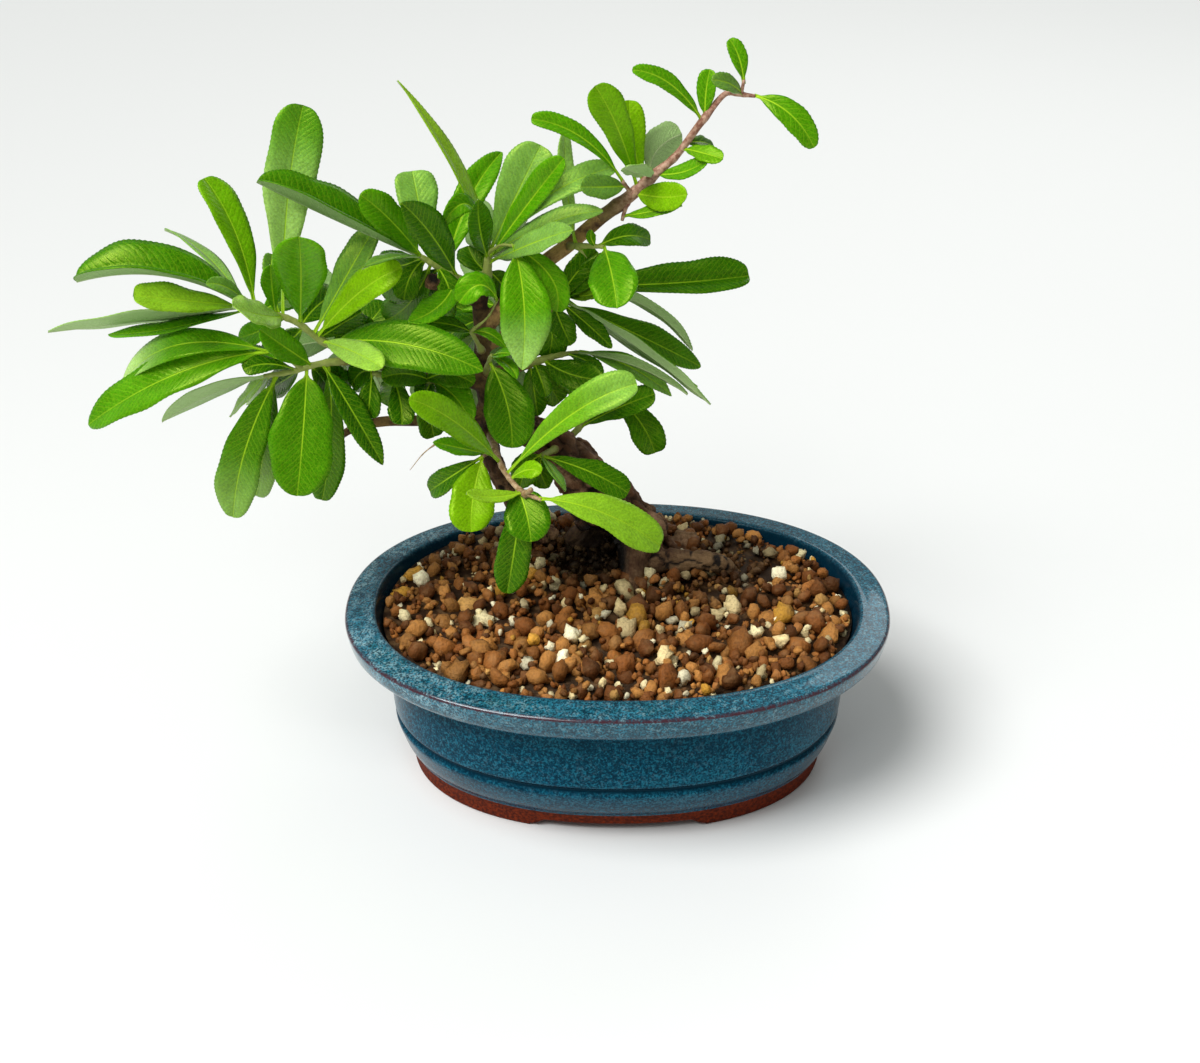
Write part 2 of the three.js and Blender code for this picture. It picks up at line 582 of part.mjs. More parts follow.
// The holes that the tree's foot and roots stand in
function footHoles() {
  const roots = Object.values(ROOTS).map((points) => limb(points, { ...ROOT, clearance: ROOT_CLEARANCE }));
  const foot = WOOD_IN_SOIL.map((name) => limb(WOOD[name], { ...THICK, gnarl: 0, clearance: FOOT_CLEARANCE }));
  return join([...roots, ...foot]);
}

// The point of a shoot's twigs that appears nearest to (x, y)
function nearestOnTwigs(twigs, x, y) {
  const wanted = new THREE.Vector2(x, y);
  let nearest = null;
  let least = Infinity;
  for (const points of twigs) {
    const path = new THREE.CatmullRomCurve3(points.map(([px, py, depth]) => sight(px, py, depth)));
    for (const point of path.getPoints(TWIG_SAMPLES)) {
      const distance = appearsAt(point).distanceTo(wanted);
      if (distance < least) {
        least = distance;
        nearest = point;
      }
    }
  }
  return nearest;
}

function shoot({ twigs, leaves }) {
  const stems = twigs.map((points) => limb(points, TWIG));
  const blades = leaves.map((row, n) => {
    const [[x, y], [midX, midY], [tipX, tipY], tipDepth, width, bow, turn] = row;
    const base = nearestOnTwigs(twigs, x, y);
    const tip = sight(tipX, tipY, tipDepth);
    const length = tip.distanceTo(base);
    const middle = sight(midX, midY, (base.y + tipDepth) / 2 - bow * length);
    const sink = LEAF_SINK * (1 + (n % 3));
    base.addScaledVector(tip.clone().sub(base).normalize(), -sink);
    return leaf(base, middle, tip, width, turn);
  });
  return outermost(join([...stems, ...blades]));
}

function box(width, depth, height, x, y, z) {
  return solid(new THREE.BoxGeometry(width, depth, height).translate(x, y, z));
}

function pot() {
  const body = ovalTurned(POT_SECTION);
  const gap = box(FOOT_GAP_WIDTH, POT_WIDTH, 2 * FOOT_GAP_HEIGHT, 0, 0, 0);
  const drains = DRAINS.map((x) => {
    const drain = new THREE.CylinderGeometry(DRAIN_RADIUS, DRAIN_RADIUS, 4 * FLOOR_TOP, DRAIN_SIDES);
    return solid(drain.rotateX(Math.PI / 2).translate(x, 0, 0));
  });
  return body.subtract(join([gap, ...drains]));
}

function screen(x) {
  const middle = FLOOR_TOP + GAP + SCREEN_THICKNESS / 2;
  const plate = box(SCREEN_SIZE, SCREEN_SIZE, SCREEN_THICKNESS, x, 0, middle);
  const pitch = SCREEN_SIZE / (SCREEN_HOLES_ACROSS + 1);
  const holes = [];
  for (let row = 0; row < SCREEN_HOLES_ACROSS; row += 1) {
    for (let column = 0; column < SCREEN_HOLES_ACROSS; column += 1) {
      const shiftX = (column - (SCREEN_HOLES_ACROSS - 1) / 2) * pitch;
      const shiftY = (row - (SCREEN_HOLES_ACROSS - 1) / 2) * pitch;
      holes.push(box(SCREEN_HOLE, SCREEN_HOLE, 2 * SCREEN_THICKNESS, x + shiftX, shiftY, middle));
    }
  }
  return plate.subtract(join(holes));
}

// The height of the soil over its edge, before its grains: a mound round the tree's foot
function mound(x, y) {
  const distance = Math.hypot(x - MOUND_CENTRE.x, y - MOUND_CENTRE.y) / MOUND_REACH;
  return MOUND_HEIGHT * Math.max(0, 1 - distance * distance);
}

function soil() {
  const random = seeded(GRAIN_SEED);
  const top = [];
  for (let ring = SOIL_RINGS; ring >= 0; ring -= 1) {
    top.push([SOIL_TOP_EDGE * (ring / SOIL_RINGS), SOIL_EDGE_HEIGHT]);
  }
  const body = ovalTurned([...SOIL_SECTION, ...top], (x, y, z) => (z < SOIL_EDGE_HEIGHT ? 0 : mound(x, y)));
  const grains = [];
  const rows = Math.floor(POT_WIDTH / GRAIN_SPACING);
  const columns = Math.floor(POT_LENGTH / GRAIN_SPACING);
  for (let row = 0; row <= rows; row += 1) {
    for (let column = 0; column <= columns; column += 1) {
      const stagger = (row % 2) / 2 + GRAIN_SCATTER * (random() - 0.5);
      const x = (column + stagger - columns / 2) * GRAIN_SPACING;
      const y = (row + GRAIN_SCATTER * (random() - 0.5) - rows / 2) * GRAIN_SPACING;
      const size = GRAIN_RADIUS * THREE.MathUtils.lerp(...GRAIN_SIZES, random());
      const turn = Math.PI * random();
      const reachX = Math.abs(x) / (SOIL_EDGE - size - GRAIN_EDGE_ROOM);
      const reachY = Math.abs(y) / (shortHalf(SOIL_EDGE) - size - GRAIN_EDGE_ROOM);
      if (reachX ** PLAN_POWER + reachY ** PLAN_POWER < 1) {
        const grain = new THREE.IcosahedronGeometry(size, 0).rotateX(turn).rotateZ(2 * turn);
        grain.scale(1, 1, GRAIN_FLATTEN);
        grains.push(solid(grain.translate(x, y, SOIL_EDGE_HEIGHT + mound(x, y))));
      }
    }
  }
  const pocketWidth = SCREEN_SIZE + 2 * GAP;
  const pocketDepth = 2 * (SCREEN_THICKNESS + 2 * GAP);
  const pockets = DRAINS.map((x) => box(pocketWidth, pocketWidth, pocketDepth, x, 0, FLOOR_TOP + GAP));
  return join([body, ...grains]).subtract(join([...pockets, footHoles()]));
}

const plant = new THREE.Group();
plant.add(piece("pot", pot(), "#2f6f8c", 0.25));
plant.add(piece("soil", soil(), "#7a4a33", 0.9));
DRAINS.forEach((x, n) => plant.add(piece(`screen_${n + 1}`, screen(x), "#1d1d1d", 0.6)));
plant.add(piece("trunk", trunk(), "#5b4636", 0.85));
for (const [name, parts] of Object.entries(SHOOTS)) {
  plant.add(piece(name, shoot(parts), "#5c9a1e", 0.4));
}

// The origin is under the middle of the whole plant, on the surface it stands on
const bounds = new THREE.Box3().setFromObject(plant);
const middle = bounds.getCenter(new THREE.Vector3());
plant.position.set(-middle.x, -middle.y, -bounds.min.z);

export default plant;
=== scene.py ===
# %% [markdown]
# # A firethorn bonsai in its glazed pot
# The CAD frame holds this plant at its real size: a pot, its soil, two mesh screens, the trunk and the
# leafy shoots, each a plain faceted solid. Here each of them gets the look of the living thing. We load
# the frame first, and keep its box, because the finished pieces have to stay inside it.

import math
import random

import bmesh
import bpy
from mathutils import Euler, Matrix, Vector, noise


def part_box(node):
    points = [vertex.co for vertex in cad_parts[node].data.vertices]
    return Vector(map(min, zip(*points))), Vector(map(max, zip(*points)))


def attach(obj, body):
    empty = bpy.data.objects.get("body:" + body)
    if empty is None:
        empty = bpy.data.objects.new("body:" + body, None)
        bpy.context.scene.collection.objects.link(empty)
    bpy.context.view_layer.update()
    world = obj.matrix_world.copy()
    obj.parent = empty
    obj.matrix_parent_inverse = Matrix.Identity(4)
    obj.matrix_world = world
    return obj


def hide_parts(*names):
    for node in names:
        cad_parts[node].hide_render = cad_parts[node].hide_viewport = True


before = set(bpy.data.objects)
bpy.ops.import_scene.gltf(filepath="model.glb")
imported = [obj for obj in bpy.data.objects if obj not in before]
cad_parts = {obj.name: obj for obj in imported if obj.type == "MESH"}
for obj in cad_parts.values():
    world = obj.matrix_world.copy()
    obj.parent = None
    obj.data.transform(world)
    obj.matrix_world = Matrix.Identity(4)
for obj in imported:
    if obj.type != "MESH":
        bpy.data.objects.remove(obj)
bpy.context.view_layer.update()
# Noise vectors differ from run to run unless their seed is set
NOISE_SEED = 7
noise.seed_set(NOISE_SEED)


# %% [markdown]
# ## The camera comes first
# The tree was measured from one photograph, so its camera is rebuilt here: how far it stood, how it
# tilted, and where the middle of the pot's rim appears. A point of the tree is then given by where it
# appears in the picture and by its depth, which is how far it lies behind the pot's long axis. The CAD
# was placed in the same way, so a leaf made from the same values lands on its solid.

# %% Standpoint and picture
MM = 0.001
PICTURE_WIDTH = 1200
PICTURE_MIDDLE = Vector((600, 531.5))
PICTURE_FOCAL = 1898
VIEW_TILT = math.radians(29)
VIEW_DISTANCE = 560 * MM
AIM_IN_PICTURE = Vector((617.3, 599.5))
AIM_HEIGHT = 51 * MM
SENSOR_WIDTH = 36
CLIP_START = 0.01
CLIP_END = 20
UP = Vector((0, 0, 1))

pot_low, pot_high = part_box("pot")
POT_CENTRE = Vector(((pot_low.x + pot_high.x) / 2, (pot_low.y + pot_high.y) / 2, pot_low.z))
AHEAD = Vector((0, math.cos(VIEW_TILT), -math.sin(VIEW_TILT)))
ACROSS = Vector((1, 0, 0))
ABOVE = Vector((0, math.sin(VIEW_TILT), math.cos(VIEW_TILT)))
aim_shift = (AIM_IN_PICTURE - PICTURE_MIDDLE) * (VIEW_DISTANCE / PICTURE_FOCAL)
EYE = POT_CENTRE + UP * AIM_HEIGHT - AHEAD * VIEW_DISTANCE - ACROSS * aim_shift.x + ABOVE * aim_shift.y


def sight(x, y, depth):
    """The point that appears at (x, y) in the picture, at a depth in millimetres."""
    ray = AHEAD + ACROSS * ((x - PICTURE_MIDDLE.x) / PICTURE_FOCAL)
    ray += ABOVE * ((PICTURE_MIDDLE.y - y) / PICTURE_FOCAL)
    return EYE + ray * ((POT_CENTRE.y + depth * MM - EYE.y) / ray.y)


def on_level(x, y, height):
    """The point that appears at (x, y), at a height over the floor."""
    ray = sight(x, y, 0) - EYE
    return EYE + ray * ((height - EYE.z) / ray.z)


def appears_at(point):
    """Where a point in space appears in the picture."""
    offset = point - EYE
    scale = PICTURE_FOCAL / offset.dot(AHEAD)
    return PICTURE_MIDDLE + Vector((scale * offset.dot(ACROSS), -scale * offset.dot(ABOVE)))


def add_object(name, data):
    """An object in the scene, made from a camera, a lamp or a mesh."""
    made = bpy.data.objects.new(name, data)
    bpy.context.collection.objects.link(made)
    return made


camera_data = bpy.data.cameras.new("camera")
camera_data.sensor_width = SENSOR_WIDTH
camera_data.lens = SENSOR_WIDTH * PICTURE_FOCAL / PICTURE_WIDTH
camera_data.clip_start = CLIP_START
camera_data.clip_end = CLIP_END
camera = add_object("camera", camera_data)
camera.location = EYE
camera.rotation_euler = (math.pi / 2 - VIEW_TILT, 0, 0)
bpy.context.scene.camera = camera
print("camera at", tuple(round(c, 3) for c in EYE), "lens", round(camera_data.lens, 2))

# %% [markdown]
# ## Small helpers
# Every piece below starts as a bmesh primitive, is bent into place by moving its vertices, and becomes
# an object whose origin stays at the frame's origin. Colour layers travel with the vertices: they tell
# the materials where a leaf is young, where bark is old, where soil is damp or where glaze runs thin.

# %% Helpers for meshes
def finish_piece(name, mesh, materials, replaced):
    """Makes a mesh a piece of the plant that stands for CAD nodes."""
    for material in materials:
        mesh.materials.append(material)
    for polygon in mesh.polygons:
        polygon.use_smooth = True
    piece = add_object(name, mesh)
    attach(piece, "root")
    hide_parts(*replaced)
    return piece


def mesh_from(bm, name):
    """Turns a bmesh into a mesh, and frees it."""
    mesh = bpy.data.meshes.new(name)
    bm.to_mesh(mesh)
    bm.free()
    return mesh


def add_mesh(bm, mesh):
    """Adds a mesh to a bmesh, and returns the vertices that came."""
    before = len(bm.verts)
    bm.from_mesh(mesh)
    bm.verts.ensure_lookup_table()
    return bm.verts[before:]


def applied(thing):
    """A mesh with the object's modifiers applied."""
    return bpy.data.meshes.new_from_object(thing.evaluated_get(bpy.context.evaluated_depsgraph_get()))


def smoothstep(low, high, value):
    """0 at low, 1 at high, and a soft curve between. High may be less than low."""
    share = min(max((value - low) / (high - low), 0), 1)
    return share * share * (3 - 2 * share)


def mix(a, b, share):
    """The value a share of the way from a to b."""
    return a + (b - a) * share


# %% Helpers for limbs
SHORTEST_SPAN = 1e-9
FEWEST_RINGS = 3


def curve_point(points, t):
    """A point of the smooth curve through the points, and its direction there. t runs from 0 to 1."""
    spans = len(points) - 1
    span = min(int(t * spans), spans - 1)
    share = t * spans - span
    p1, p2 = points[span], points[span + 1]
    p0 = points[span - 1] if span > 0 else 2 * p1 - p2
    p3 = points[span + 2] if span + 2 <= spans else 2 * p2 - p1
    pairs = (p0, p1), (p1, p2), (p2, p3)
    d0, d1, d2 = [math.sqrt(max((b - a).length, SHORTEST_SPAN)) for a, b in pairs]
    m1 = ((p1 - p0) / d0 - (p2 - p0) / (d0 + d1) + (p2 - p1) / d1) * d1
    m2 = ((p2 - p1) / d1 - (p3 - p1) / (d1 + d2) + (p3 - p2) / d2) * d1
    s2, s3 = share * share, share**3
    place = p1 * (2 * s3 - 3 * s2 + 1) + m1 * (s3 - 2 * s2 + share)
    place += p2 * (3 * s2 - 2 * s3) + m2 * (s3 - s2)
    ahead = p1 * (6 * s2 - 6 * share) + m1 * (3 * s2 - 4 * share + 1)
    ahead += p2 * (6 * share - 6 * s2) + m2 * (3 * s2 - 2 * share)
    return place, ahead.normalized()


def line_of(rows):
    """The points in space of rows of [x, y, depth, radius]."""
    return [sight(*row[:3]) for row in rows]


def radius_at(rows, t):
    """The radius at a share of the rows' length, in metres."""
    spans = len(rows) - 1
    span = min(int(t * spans), spans - 1)
    return mix(rows[span][3], rows[span + 1][3], t * spans - span) * MM


def limb(bm, rows, sides, step, swell):
    """A closed tube of wood along rows of [x, y, depth, radius]. swell(t, angle) changes its radius.
    Returns its vertices, each with its share of the length."""
    points = line_of(rows)
    length = sum((b - a).length for a, b in zip(points, points[1:]))
    rings = max(FEWEST_RINGS, round(length / step))
    tube = bmesh.new()
    bmesh.ops.create_cone(tube, cap_ends=True, segments=sides, radius1=1, radius2=1, depth=2)
    upright = [e for e in tube.edges if e.verts[0].co.z != e.verts[1].co.z]
    bmesh.ops.subdivide_edges(tube, edges=upright, cuts=rings - 1)
    turned = []
    side = Vector((0, 1, 0))
    for ring in range(rings + 1):
        place, ahead = curve_point(points, ring / rings)
        side = (side - ahead * side.dot(ahead)).normalized()
        turned.append((place, side, ahead.cross(side)))
    shares = []
    for vert in tube.verts:
        t = (vert.co.z + 1) / 2
        place, side, over = turned[round(t * rings)]
        angle = math.atan2(vert.co.y, vert.co.x)
        radius = radius_at(rows, t) * swell(t, angle)
        vert.co = place + (side * math.cos(angle) + over * math.sin(angle)) * radius
        shares.append(t)
    return list(zip(add_mesh(bm, mesh_from(tube, "tube")), shares))


print("mesh helpers ready")

# %% Helpers for materials
def new_material(name):
    """A material whose Principled shader is ready, with its node tree and that shader."""
    material = bpy.data.materials.new(name)
    material.use_nodes = True
    return material, material.node_tree, material.node_tree.nodes["Principled BSDF"]


def fill(tree, node, inputs):
    """Fills inputs of a node: a socket is linked to its input, and a value is written into it."""
    for name, value in inputs.items():
        if isinstance(value, bpy.types.NodeSocket):
            tree.links.new(value, node.inputs[name])
        else:
            node.inputs[name].default_value = value


def add_node(tree, kind, inputs=None, **settings):
    """A node with its settings and its inputs filled in."""
    node = tree.nodes.new(kind)
    for name, value in settings.items():
        setattr(node, name, value)
    fill(tree, node, inputs or {})
    return node


def calculate(tree, operation, *values):
    """The result of a Math node."""
    return add_node(tree, "ShaderNodeMath", dict(enumerate(values)), operation=operation).outputs[0]


def product(tree, first, second):
    """Two values multiplied."""
    return calculate(tree, "MULTIPLY", first, second)


def total(tree, first, second):
    """Two values added."""
    return calculate(tree, "ADD", first, second)


def blend(tree, share, first, second, blend_type="MIX"):
    """The colour between two colours."""
    inputs = {0: share, 6: first, 7: second}
    return add_node(tree, "ShaderNodeMix", inputs, data_type="RGBA", blend_type=blend_type).outputs[2]


def coated(tree, colour, *coats):
    """A colour with coats laid over it in turn. A coat is a mask, and the colour where the mask is 1."""
    for mask, coat in coats:
        colour = blend(tree, mask, colour, coat)
    return colour


def between(tree, value, low, high, first=0.0, second=1.0):
    """A value carried smoothly from one range to another."""
    inputs = {"Value": value, "From Min": low, "From Max": high, "To Min": first, "To Max": second}
    return add_node(tree, "ShaderNodeMapRange", inputs, interpolation_type="SMOOTHSTEP").outputs["Result"]


def speckle(tree, where, scale, detail=3.0, roughness=0.5, distortion=0.0):
    """The value of a noise pattern. Its scale is how many spots go into one unit of where."""
    inputs = {"Vector": where, "Scale": scale, "Detail": detail, "Roughness": roughness}
    inputs["Distortion"] = distortion
    return add_node(tree, "ShaderNodeTexNoise", inputs).outputs["Fac"]


def place_on(tree):
    """The place on the piece, in metres."""
    return add_node(tree, "ShaderNodeTexCoord").outputs["Object"]


def whole_layer(tree, name, output="Color"):
    """A colour layer of the mesh, or its alpha or its vector."""
    return add_node(tree, "ShaderNodeAttribute", attribute_name=name).outputs[output]


def layer(tree, name):
    """The red, green and blue values of a colour layer of the mesh."""
    return add_node(tree, "ShaderNodeSeparateColor", {"Color": whole_layer(tree, name)}).outputs


def bump(tree, height, distance, strength):
    """The normal of a Bump node, with its distance in metres."""
    inputs = {"Height": height, "Distance": distance, "Strength": strength}
    return add_node(tree, "ShaderNodeBump", inputs).outputs["Normal"]


print("material helpers ready")

# %% [markdown]
# ## A studio like the photograph's
# The plant stands on a plain pale surface under soft light. A wide sun above to the left lights floor and
# leaves evenly, because its light does not fade with distance. Two small windows only add the highlights
# on glaze and leaves, and a weak pale world keeps the shadows light.

# %% Floor, world and lamps
FLOOR_HALF_WIDTH = 4
FLOOR_COLOUR = (0.80, 0.81, 0.80, 1)
FLOOR_ROUGHNESS = 0.45
WORLD_COLOUR = (0.97, 1.0, 0.97, 1)
WORLD_STRENGTH = 0.31
LIT_HEIGHT = 80 * MM
# A lamp's place is measured from the pot's centre, in metres. A sun's size is the angle that it fills
LAMPS = {
    "key_sun": {"kind": "SUN", "at": (-0.45, -0.30, 0.95), "size": math.radians(34), "power": 2.75},
    "window": {"kind": "AREA", "at": (-0.45, -0.55, 0.80), "size": 0.80, "height": 0.14, "power": 3.6},
    "back_window": {"kind": "AREA", "at": (0.35, 0.70, 0.60), "size": 0.50, "height": 0.30, "power": 0.8},
}

floor_bm = bmesh.new()
bmesh.ops.create_grid(floor_bm, x_segments=1, y_segments=1, size=FLOOR_HALF_WIDTH)
floor_mesh = mesh_from(floor_bm, "floor")
floor_paint, floor_tree, floor_shader = new_material("floor_paint")
fill(floor_tree, floor_shader, {"Base Color": FLOOR_COLOUR, "Roughness": FLOOR_ROUGHNESS})
floor_mesh.materials.append(floor_paint)
floor = add_object("floor", floor_mesh)

world = bpy.data.worlds.new("studio")
world.use_nodes = True
sky = world.node_tree.nodes["Background"]
fill(world.node_tree, sky, {"Color": WORLD_COLOUR, "Strength": WORLD_STRENGTH})
bpy.context.scene.world = world
bpy.context.scene.view_settings.view_transform = "Standard"

look_at = POT_CENTRE + UP * LIT_HEIGHT
for name, lamp in LAMPS.items():
    data = bpy.data.lights.new(name, lamp["kind"])
    if lamp["kind"] == "SUN":
        data.angle = lamp["size"]
    else:
        data.shape = "RECTANGLE"
        data.size = lamp["size"]
        data.size_y = lamp["height"]
    data.energy = lamp["power"]
    holder = add_object(name, data)
    holder.location = POT_CENTRE + Vector(lamp["at"])
    holder.rotation_euler = (look_at - holder.location).to_track_quat("-Z", "Y").to_euler()
print("lamps:", list(LAMPS))

# %% [markdown]
# ## The glaze
# A blue-green glaze over red-brown clay. It is never one colour: fine light specks float in it, it turns
# dark where it gathers in a groove, and where it runs thin over a sharp edge the clay shows through as
# maroon. On the rim's left it is swirled, milky and dark. We lay these colours as coats over one another,
# each where a noise pattern lets it. The mesh's `glaze` layer tells the rest: it holds the thin edges in
# red, the bare clay in green, and in blue the dark places: glaze pooled in the groove, and painted shade
# under the lip and on the pot's inner wall and floor.

# %% Glaze and clay
GLAZE_DEEP = (0.001, 0.016, 0.032, 1)
GLAZE_BODY = (0.001, 0.056, 0.106, 1)
GLAZE_PALE = (0.018, 0.185, 0.275, 1)
GLAZE_RIM = (0.012, 0.090, 0.130, 1)
GLAZE_MILKY = (0.250, 0.420, 0.470, 1)
GLAZE_STREAK = (0.004, 0.060, 0.068, 1)
GLAZE_THIN = (0.050, 0.013, 0.020, 1)
GLAZE_SHEEN = (0.30, 0.80, 1.0, 1)
CLAY_RED = (0.200, 0.028, 0.006, 1)
CLAY_DARK = (0.055, 0.009, 0.004, 1)
# Each pattern has its spots in a metre, its detail, its roughness and how much it is distorted
GLAZE_PATTERNS = {
    "cloud": (38.0, 4.0, 0.55), "swirl": (48.0, 3.0, 0.55, 6.0), "mottle": (560.0, 4.0, 0.70),
    "grain": (1150.0, 3.0, 0.7), "fine": (1700.0, 2.0, 0.6), "ripple": (60.0, 2.0),
}
FLOW_PATTERN = (26.0, 3.0, 0.6, 1.5)
FLOW_STRETCH = (1.0, 1.0, 3.0)
RIM_FROM = 40 * MM
RIM_TO = 49 * MM
SWIRL_FROM = POT_CENTRE.x - 20 * MM
SWIRL_TO = POT_CENTRE.x - 55 * MM
GLAZE_RIPPLE = 0.6 * MM


def make_glaze():
    """The glaze and the bare clay of the foot, in one material."""
    material, tree, shader = new_material("blue_glaze")
    where = place_on(tree)
    along, _, height = add_node(tree, "ShaderNodeSeparateXYZ", {"Vector": where}).outputs
    thin, bare, hollow = layer(tree, "glaze")[:3]
    noises = [speckle(tree, where, *pattern) for pattern in GLAZE_PATTERNS.values()]
    cloud, swirl, mottle, grain, fine, ripple = noises
    stretched = add_node(tree, "ShaderNodeVectorMath", {0: where, 1: FLOW_STRETCH}, operation="MULTIPLY")
    flow = speckle(tree, stretched.outputs["Vector"], *FLOW_PATTERN)
    rim = between(tree, height, RIM_FROM, RIM_TO)
    rim_left = product(tree, rim, between(tree, along, SWIRL_FROM, SWIRL_TO))

    def where_on(zone, noise_value, start, full, strength=1.0):
        """A coat's mask: its noise, where it starts and where it is full, kept to a zone of the pot."""
        return product(tree, between(tree, noise_value, start, full, 0.0, strength), zone)

    def by_height(on_body, on_rim):
        """A zone that is stronger on the rim than on the body."""
        return between(tree, rim, 0.0, 1.0, on_body, on_rim)

    def roughened(value, noise_value, strength):
        """A value with a ragged edge."""
        return total(tree, value, product(tree, calculate(tree, "SUBTRACT", noise_value, 0.5), strength))

    body = blend(tree, between(tree, cloud, 0.30, 0.70, 0.35, 1.0), GLAZE_DEEP, GLAZE_BODY)
    body = coated(
        tree, body,
        (rim, GLAZE_RIM),
        (where_on(rim_left, swirl, 0.44, 0.58, 0.85), GLAZE_MILKY),
        (where_on(rim_left, swirl, 0.44, 0.36, 0.80), GLAZE_STREAK),
        (where_on(by_height(0.10, 0.46), mottle, 0.50, 0.62), GLAZE_MILKY),
        (where_on(by_height(0.40, 0.80), mottle, 0.47, 0.37), GLAZE_DEEP),
        (between(tree, flow, 0.50, 0.70, 0.0, 0.30), GLAZE_PALE),
        (between(tree, flow, 0.46, 0.32, 0.0, 0.45), GLAZE_DEEP),
        (where_on(by_height(0.60, 0.90), grain, 0.46, 0.60), GLAZE_PALE),
        (between(tree, fine, 0.42, 0.54, 0.84, 0.0), GLAZE_DEEP),
        # Painted shade under the lip and inside the pot, and glaze pooled dark in the groove
        (product(tree, hollow, 0.96), GLAZE_DEEP),
        (between(tree, roughened(thin, grain, 1.2), 0.50, 0.95), GLAZE_THIN),
    )
    clay = blend(tree, between(tree, grain, 0.35, 0.7), CLAY_DARK, CLAY_RED)
    bared = between(tree, roughened(bare, cloud, 0.8), 0.4, 0.6)
    waves = total(tree, ripple, product(tree, grain, 0.10))
    fill(tree, shader, {
        "Base Color": blend(tree, bared, body, clay),
        "Roughness": between(tree, bared, 0.0, 1.0, 0.20, 0.80),
        "Specular IOR Level": 0.10,
        "Specular Tint": GLAZE_SHEEN,
        "Coat Weight": product(tree, rim, between(tree, hollow, 0.0, 1.0, 0.75, 0.05)),
        "Coat Roughness": 0.06,
        "Normal": bump(tree, waves, GLAZE_RIPPLE, 0.5),
    })
    return material


blue_glaze = make_glaze()
print("made", blue_glaze.name)

# %% [markdown]
# ## The pot
# The pot was pressed in a mould, so one section serves the whole wall: foot, groove, belly, rolled lip
# and the inside. We spin that section once round, then pull each vertex out to the pot's oval plan,
# which is a little squarer than an ellipse. The curve between the section's points is smooth. The low
# gaps under the foot come from lifting its vertices there, and the drain holes are cut at the end.

# %% Section and plan of the pot
POT_LENGTH = pot_high.x - pot_low.x
POT_WIDTH = pot_high.y - pot_low.y
PLAN_POWER = 2.2
PLAN_LEAST_WIDTH = 0.55
SECTION_STEPS = 3
# Each point is [half length, height, thin glaze, bare clay, hollow], in millimetres and shares. The hollow
# share is glaze pooled in the groove, and painted shade under the lip and inside the pot
POT_SECTION = [
    [1.0, 3.6, 0, 1, 0], [54.3, 3.6, 0, 1, 0], [55.2, 3.0, 0, 1, 0], [55.6, 0.3, 0, 1, 0],
    [56.2, 0, 0, 1, 0], [61.8, 0, 0, 1, 0], [62.5, 0.5, 0, 1, 0], [62.9, 3.2, 0, 1, 0],
    [63.5, 5.8, 0, 1, 0], [63.9, 6.7, 0.5, 0.3, 0], [64.9, 8.0, 0.1, 0, 0], [66.8, 10.2, 0, 0, 0.2],
    [69.4, 14.8, 0, 0, 0.1], [70.6, 17.6, 0.3, 0, 0], [70.7, 18.5, 0.2, 0, 0.1],
    [69.9, 19.6, 0, 0, 1], [70.0, 20.4, 0, 0, 1], [71.0, 21.4, 0.35, 0, 0.2], [71.2, 22.6, 0.1, 0, 0],
    [71.2, 30.0, 0, 0, 0], [71.1, 39.0, 0, 0, 0.25], [71.5, 40.3, 0, 0, 1], [73.0, 40.8, 0, 0, 0.9],
    [76.0, 41.4, 0.2, 0, 0.3], [78.3, 43.4, 0.35, 0, 0], [79.4, 46.2, 0, 0, 0], [79.9, 48.8, 0.1, 0, 0],
    [79.9, 49.8, 0.9, 0, 0], [79.3, 50.4, 0.7, 0, 0], [78.0, 50.65, 0.1, 0, 0], [74.5, 51.05, 0, 0, 0],
    [72.2, 51.35, 0.2, 0, 0.2], [71.2, 51.1, 0.5, 0, 0.8], [70.7, 50.2, 0.2, 0, 1],
    [69.6, 47.5, 0, 0, 1], [68.7, 45, 0, 0, 1], [67.2, 41, 0, 0, 1], [65.5, 14, 0, 0, 1], [62, 9, 0, 0, 1],
    [1.0, 9, 0, 0, 1],
]
# The lip overhangs the body more at the pot's ends than at its sides: [height, share of the length]
BODY_ENDS = [[0, 0.985], [6, 0.985], [10, 0.965], [15, 0.948], [20, 0.942], [40, 0.948], [45, 1]]


def short_half(r):
    """Half the oval's width where its half length is r."""
    return max(r - (POT_LENGTH - POT_WIDTH) / 2, PLAN_LEAST_WIDTH * r)


def end_share(height):
    """How long the plan is at a height, as a share of its length at the rim."""
    for (low, low_share), (high, high_share) in zip(BODY_ENDS, BODY_ENDS[1:]):
        if height < high * MM:
            return mix(low_share, high_share, (height / MM - low) / (high - low))
    return 1


def on_plan(r, angle, height):
    """A place on the oval, measured from the pot's centre."""
    c, s = math.cos(angle), math.sin(angle)
    x = math.copysign(abs(c) ** (2 / PLAN_POWER), c) * r * end_share(height)
    y = math.copysign(abs(s) ** (2 / PLAN_POWER), s) * short_half(r)
    return Vector((x, y, 0))


def section_of_pot():
    """The section's points with smooth ones between them, each with its three shares."""
    points = [Vector((half, height, 0)) for half, height, *shares in POT_SECTION]
    shares = [Vector(row[2:]) for row in POT_SECTION]
    steps = (len(points) - 1) * SECTION_STEPS
    outline = []
    for step in range(steps + 1):
        span, share = divmod(step, SECTION_STEPS)
        after = shares[min(span + 1, len(shares) - 1)]
        place = curve_point(points, step / steps)[0]
        outline.append((place, shares[span].lerp(after, share / SECTION_STEPS)))
    return outline


print("points in the section:", len(section_of_pot()))

# %% The pot's body
POT_STEPS = 160
SAME_PLACE = 1e-6
GAP_HALF_WIDTH = 25 * MM
GAP_SLOPE = 3 * MM
GAP_HEIGHT = 3 * MM
DRAIN_RADIUS = 6 * MM
DRAIN_DEPTH = 30 * MM
DRAIN_SIDES = 48
DRAINS = [-30 * MM, 30 * MM]


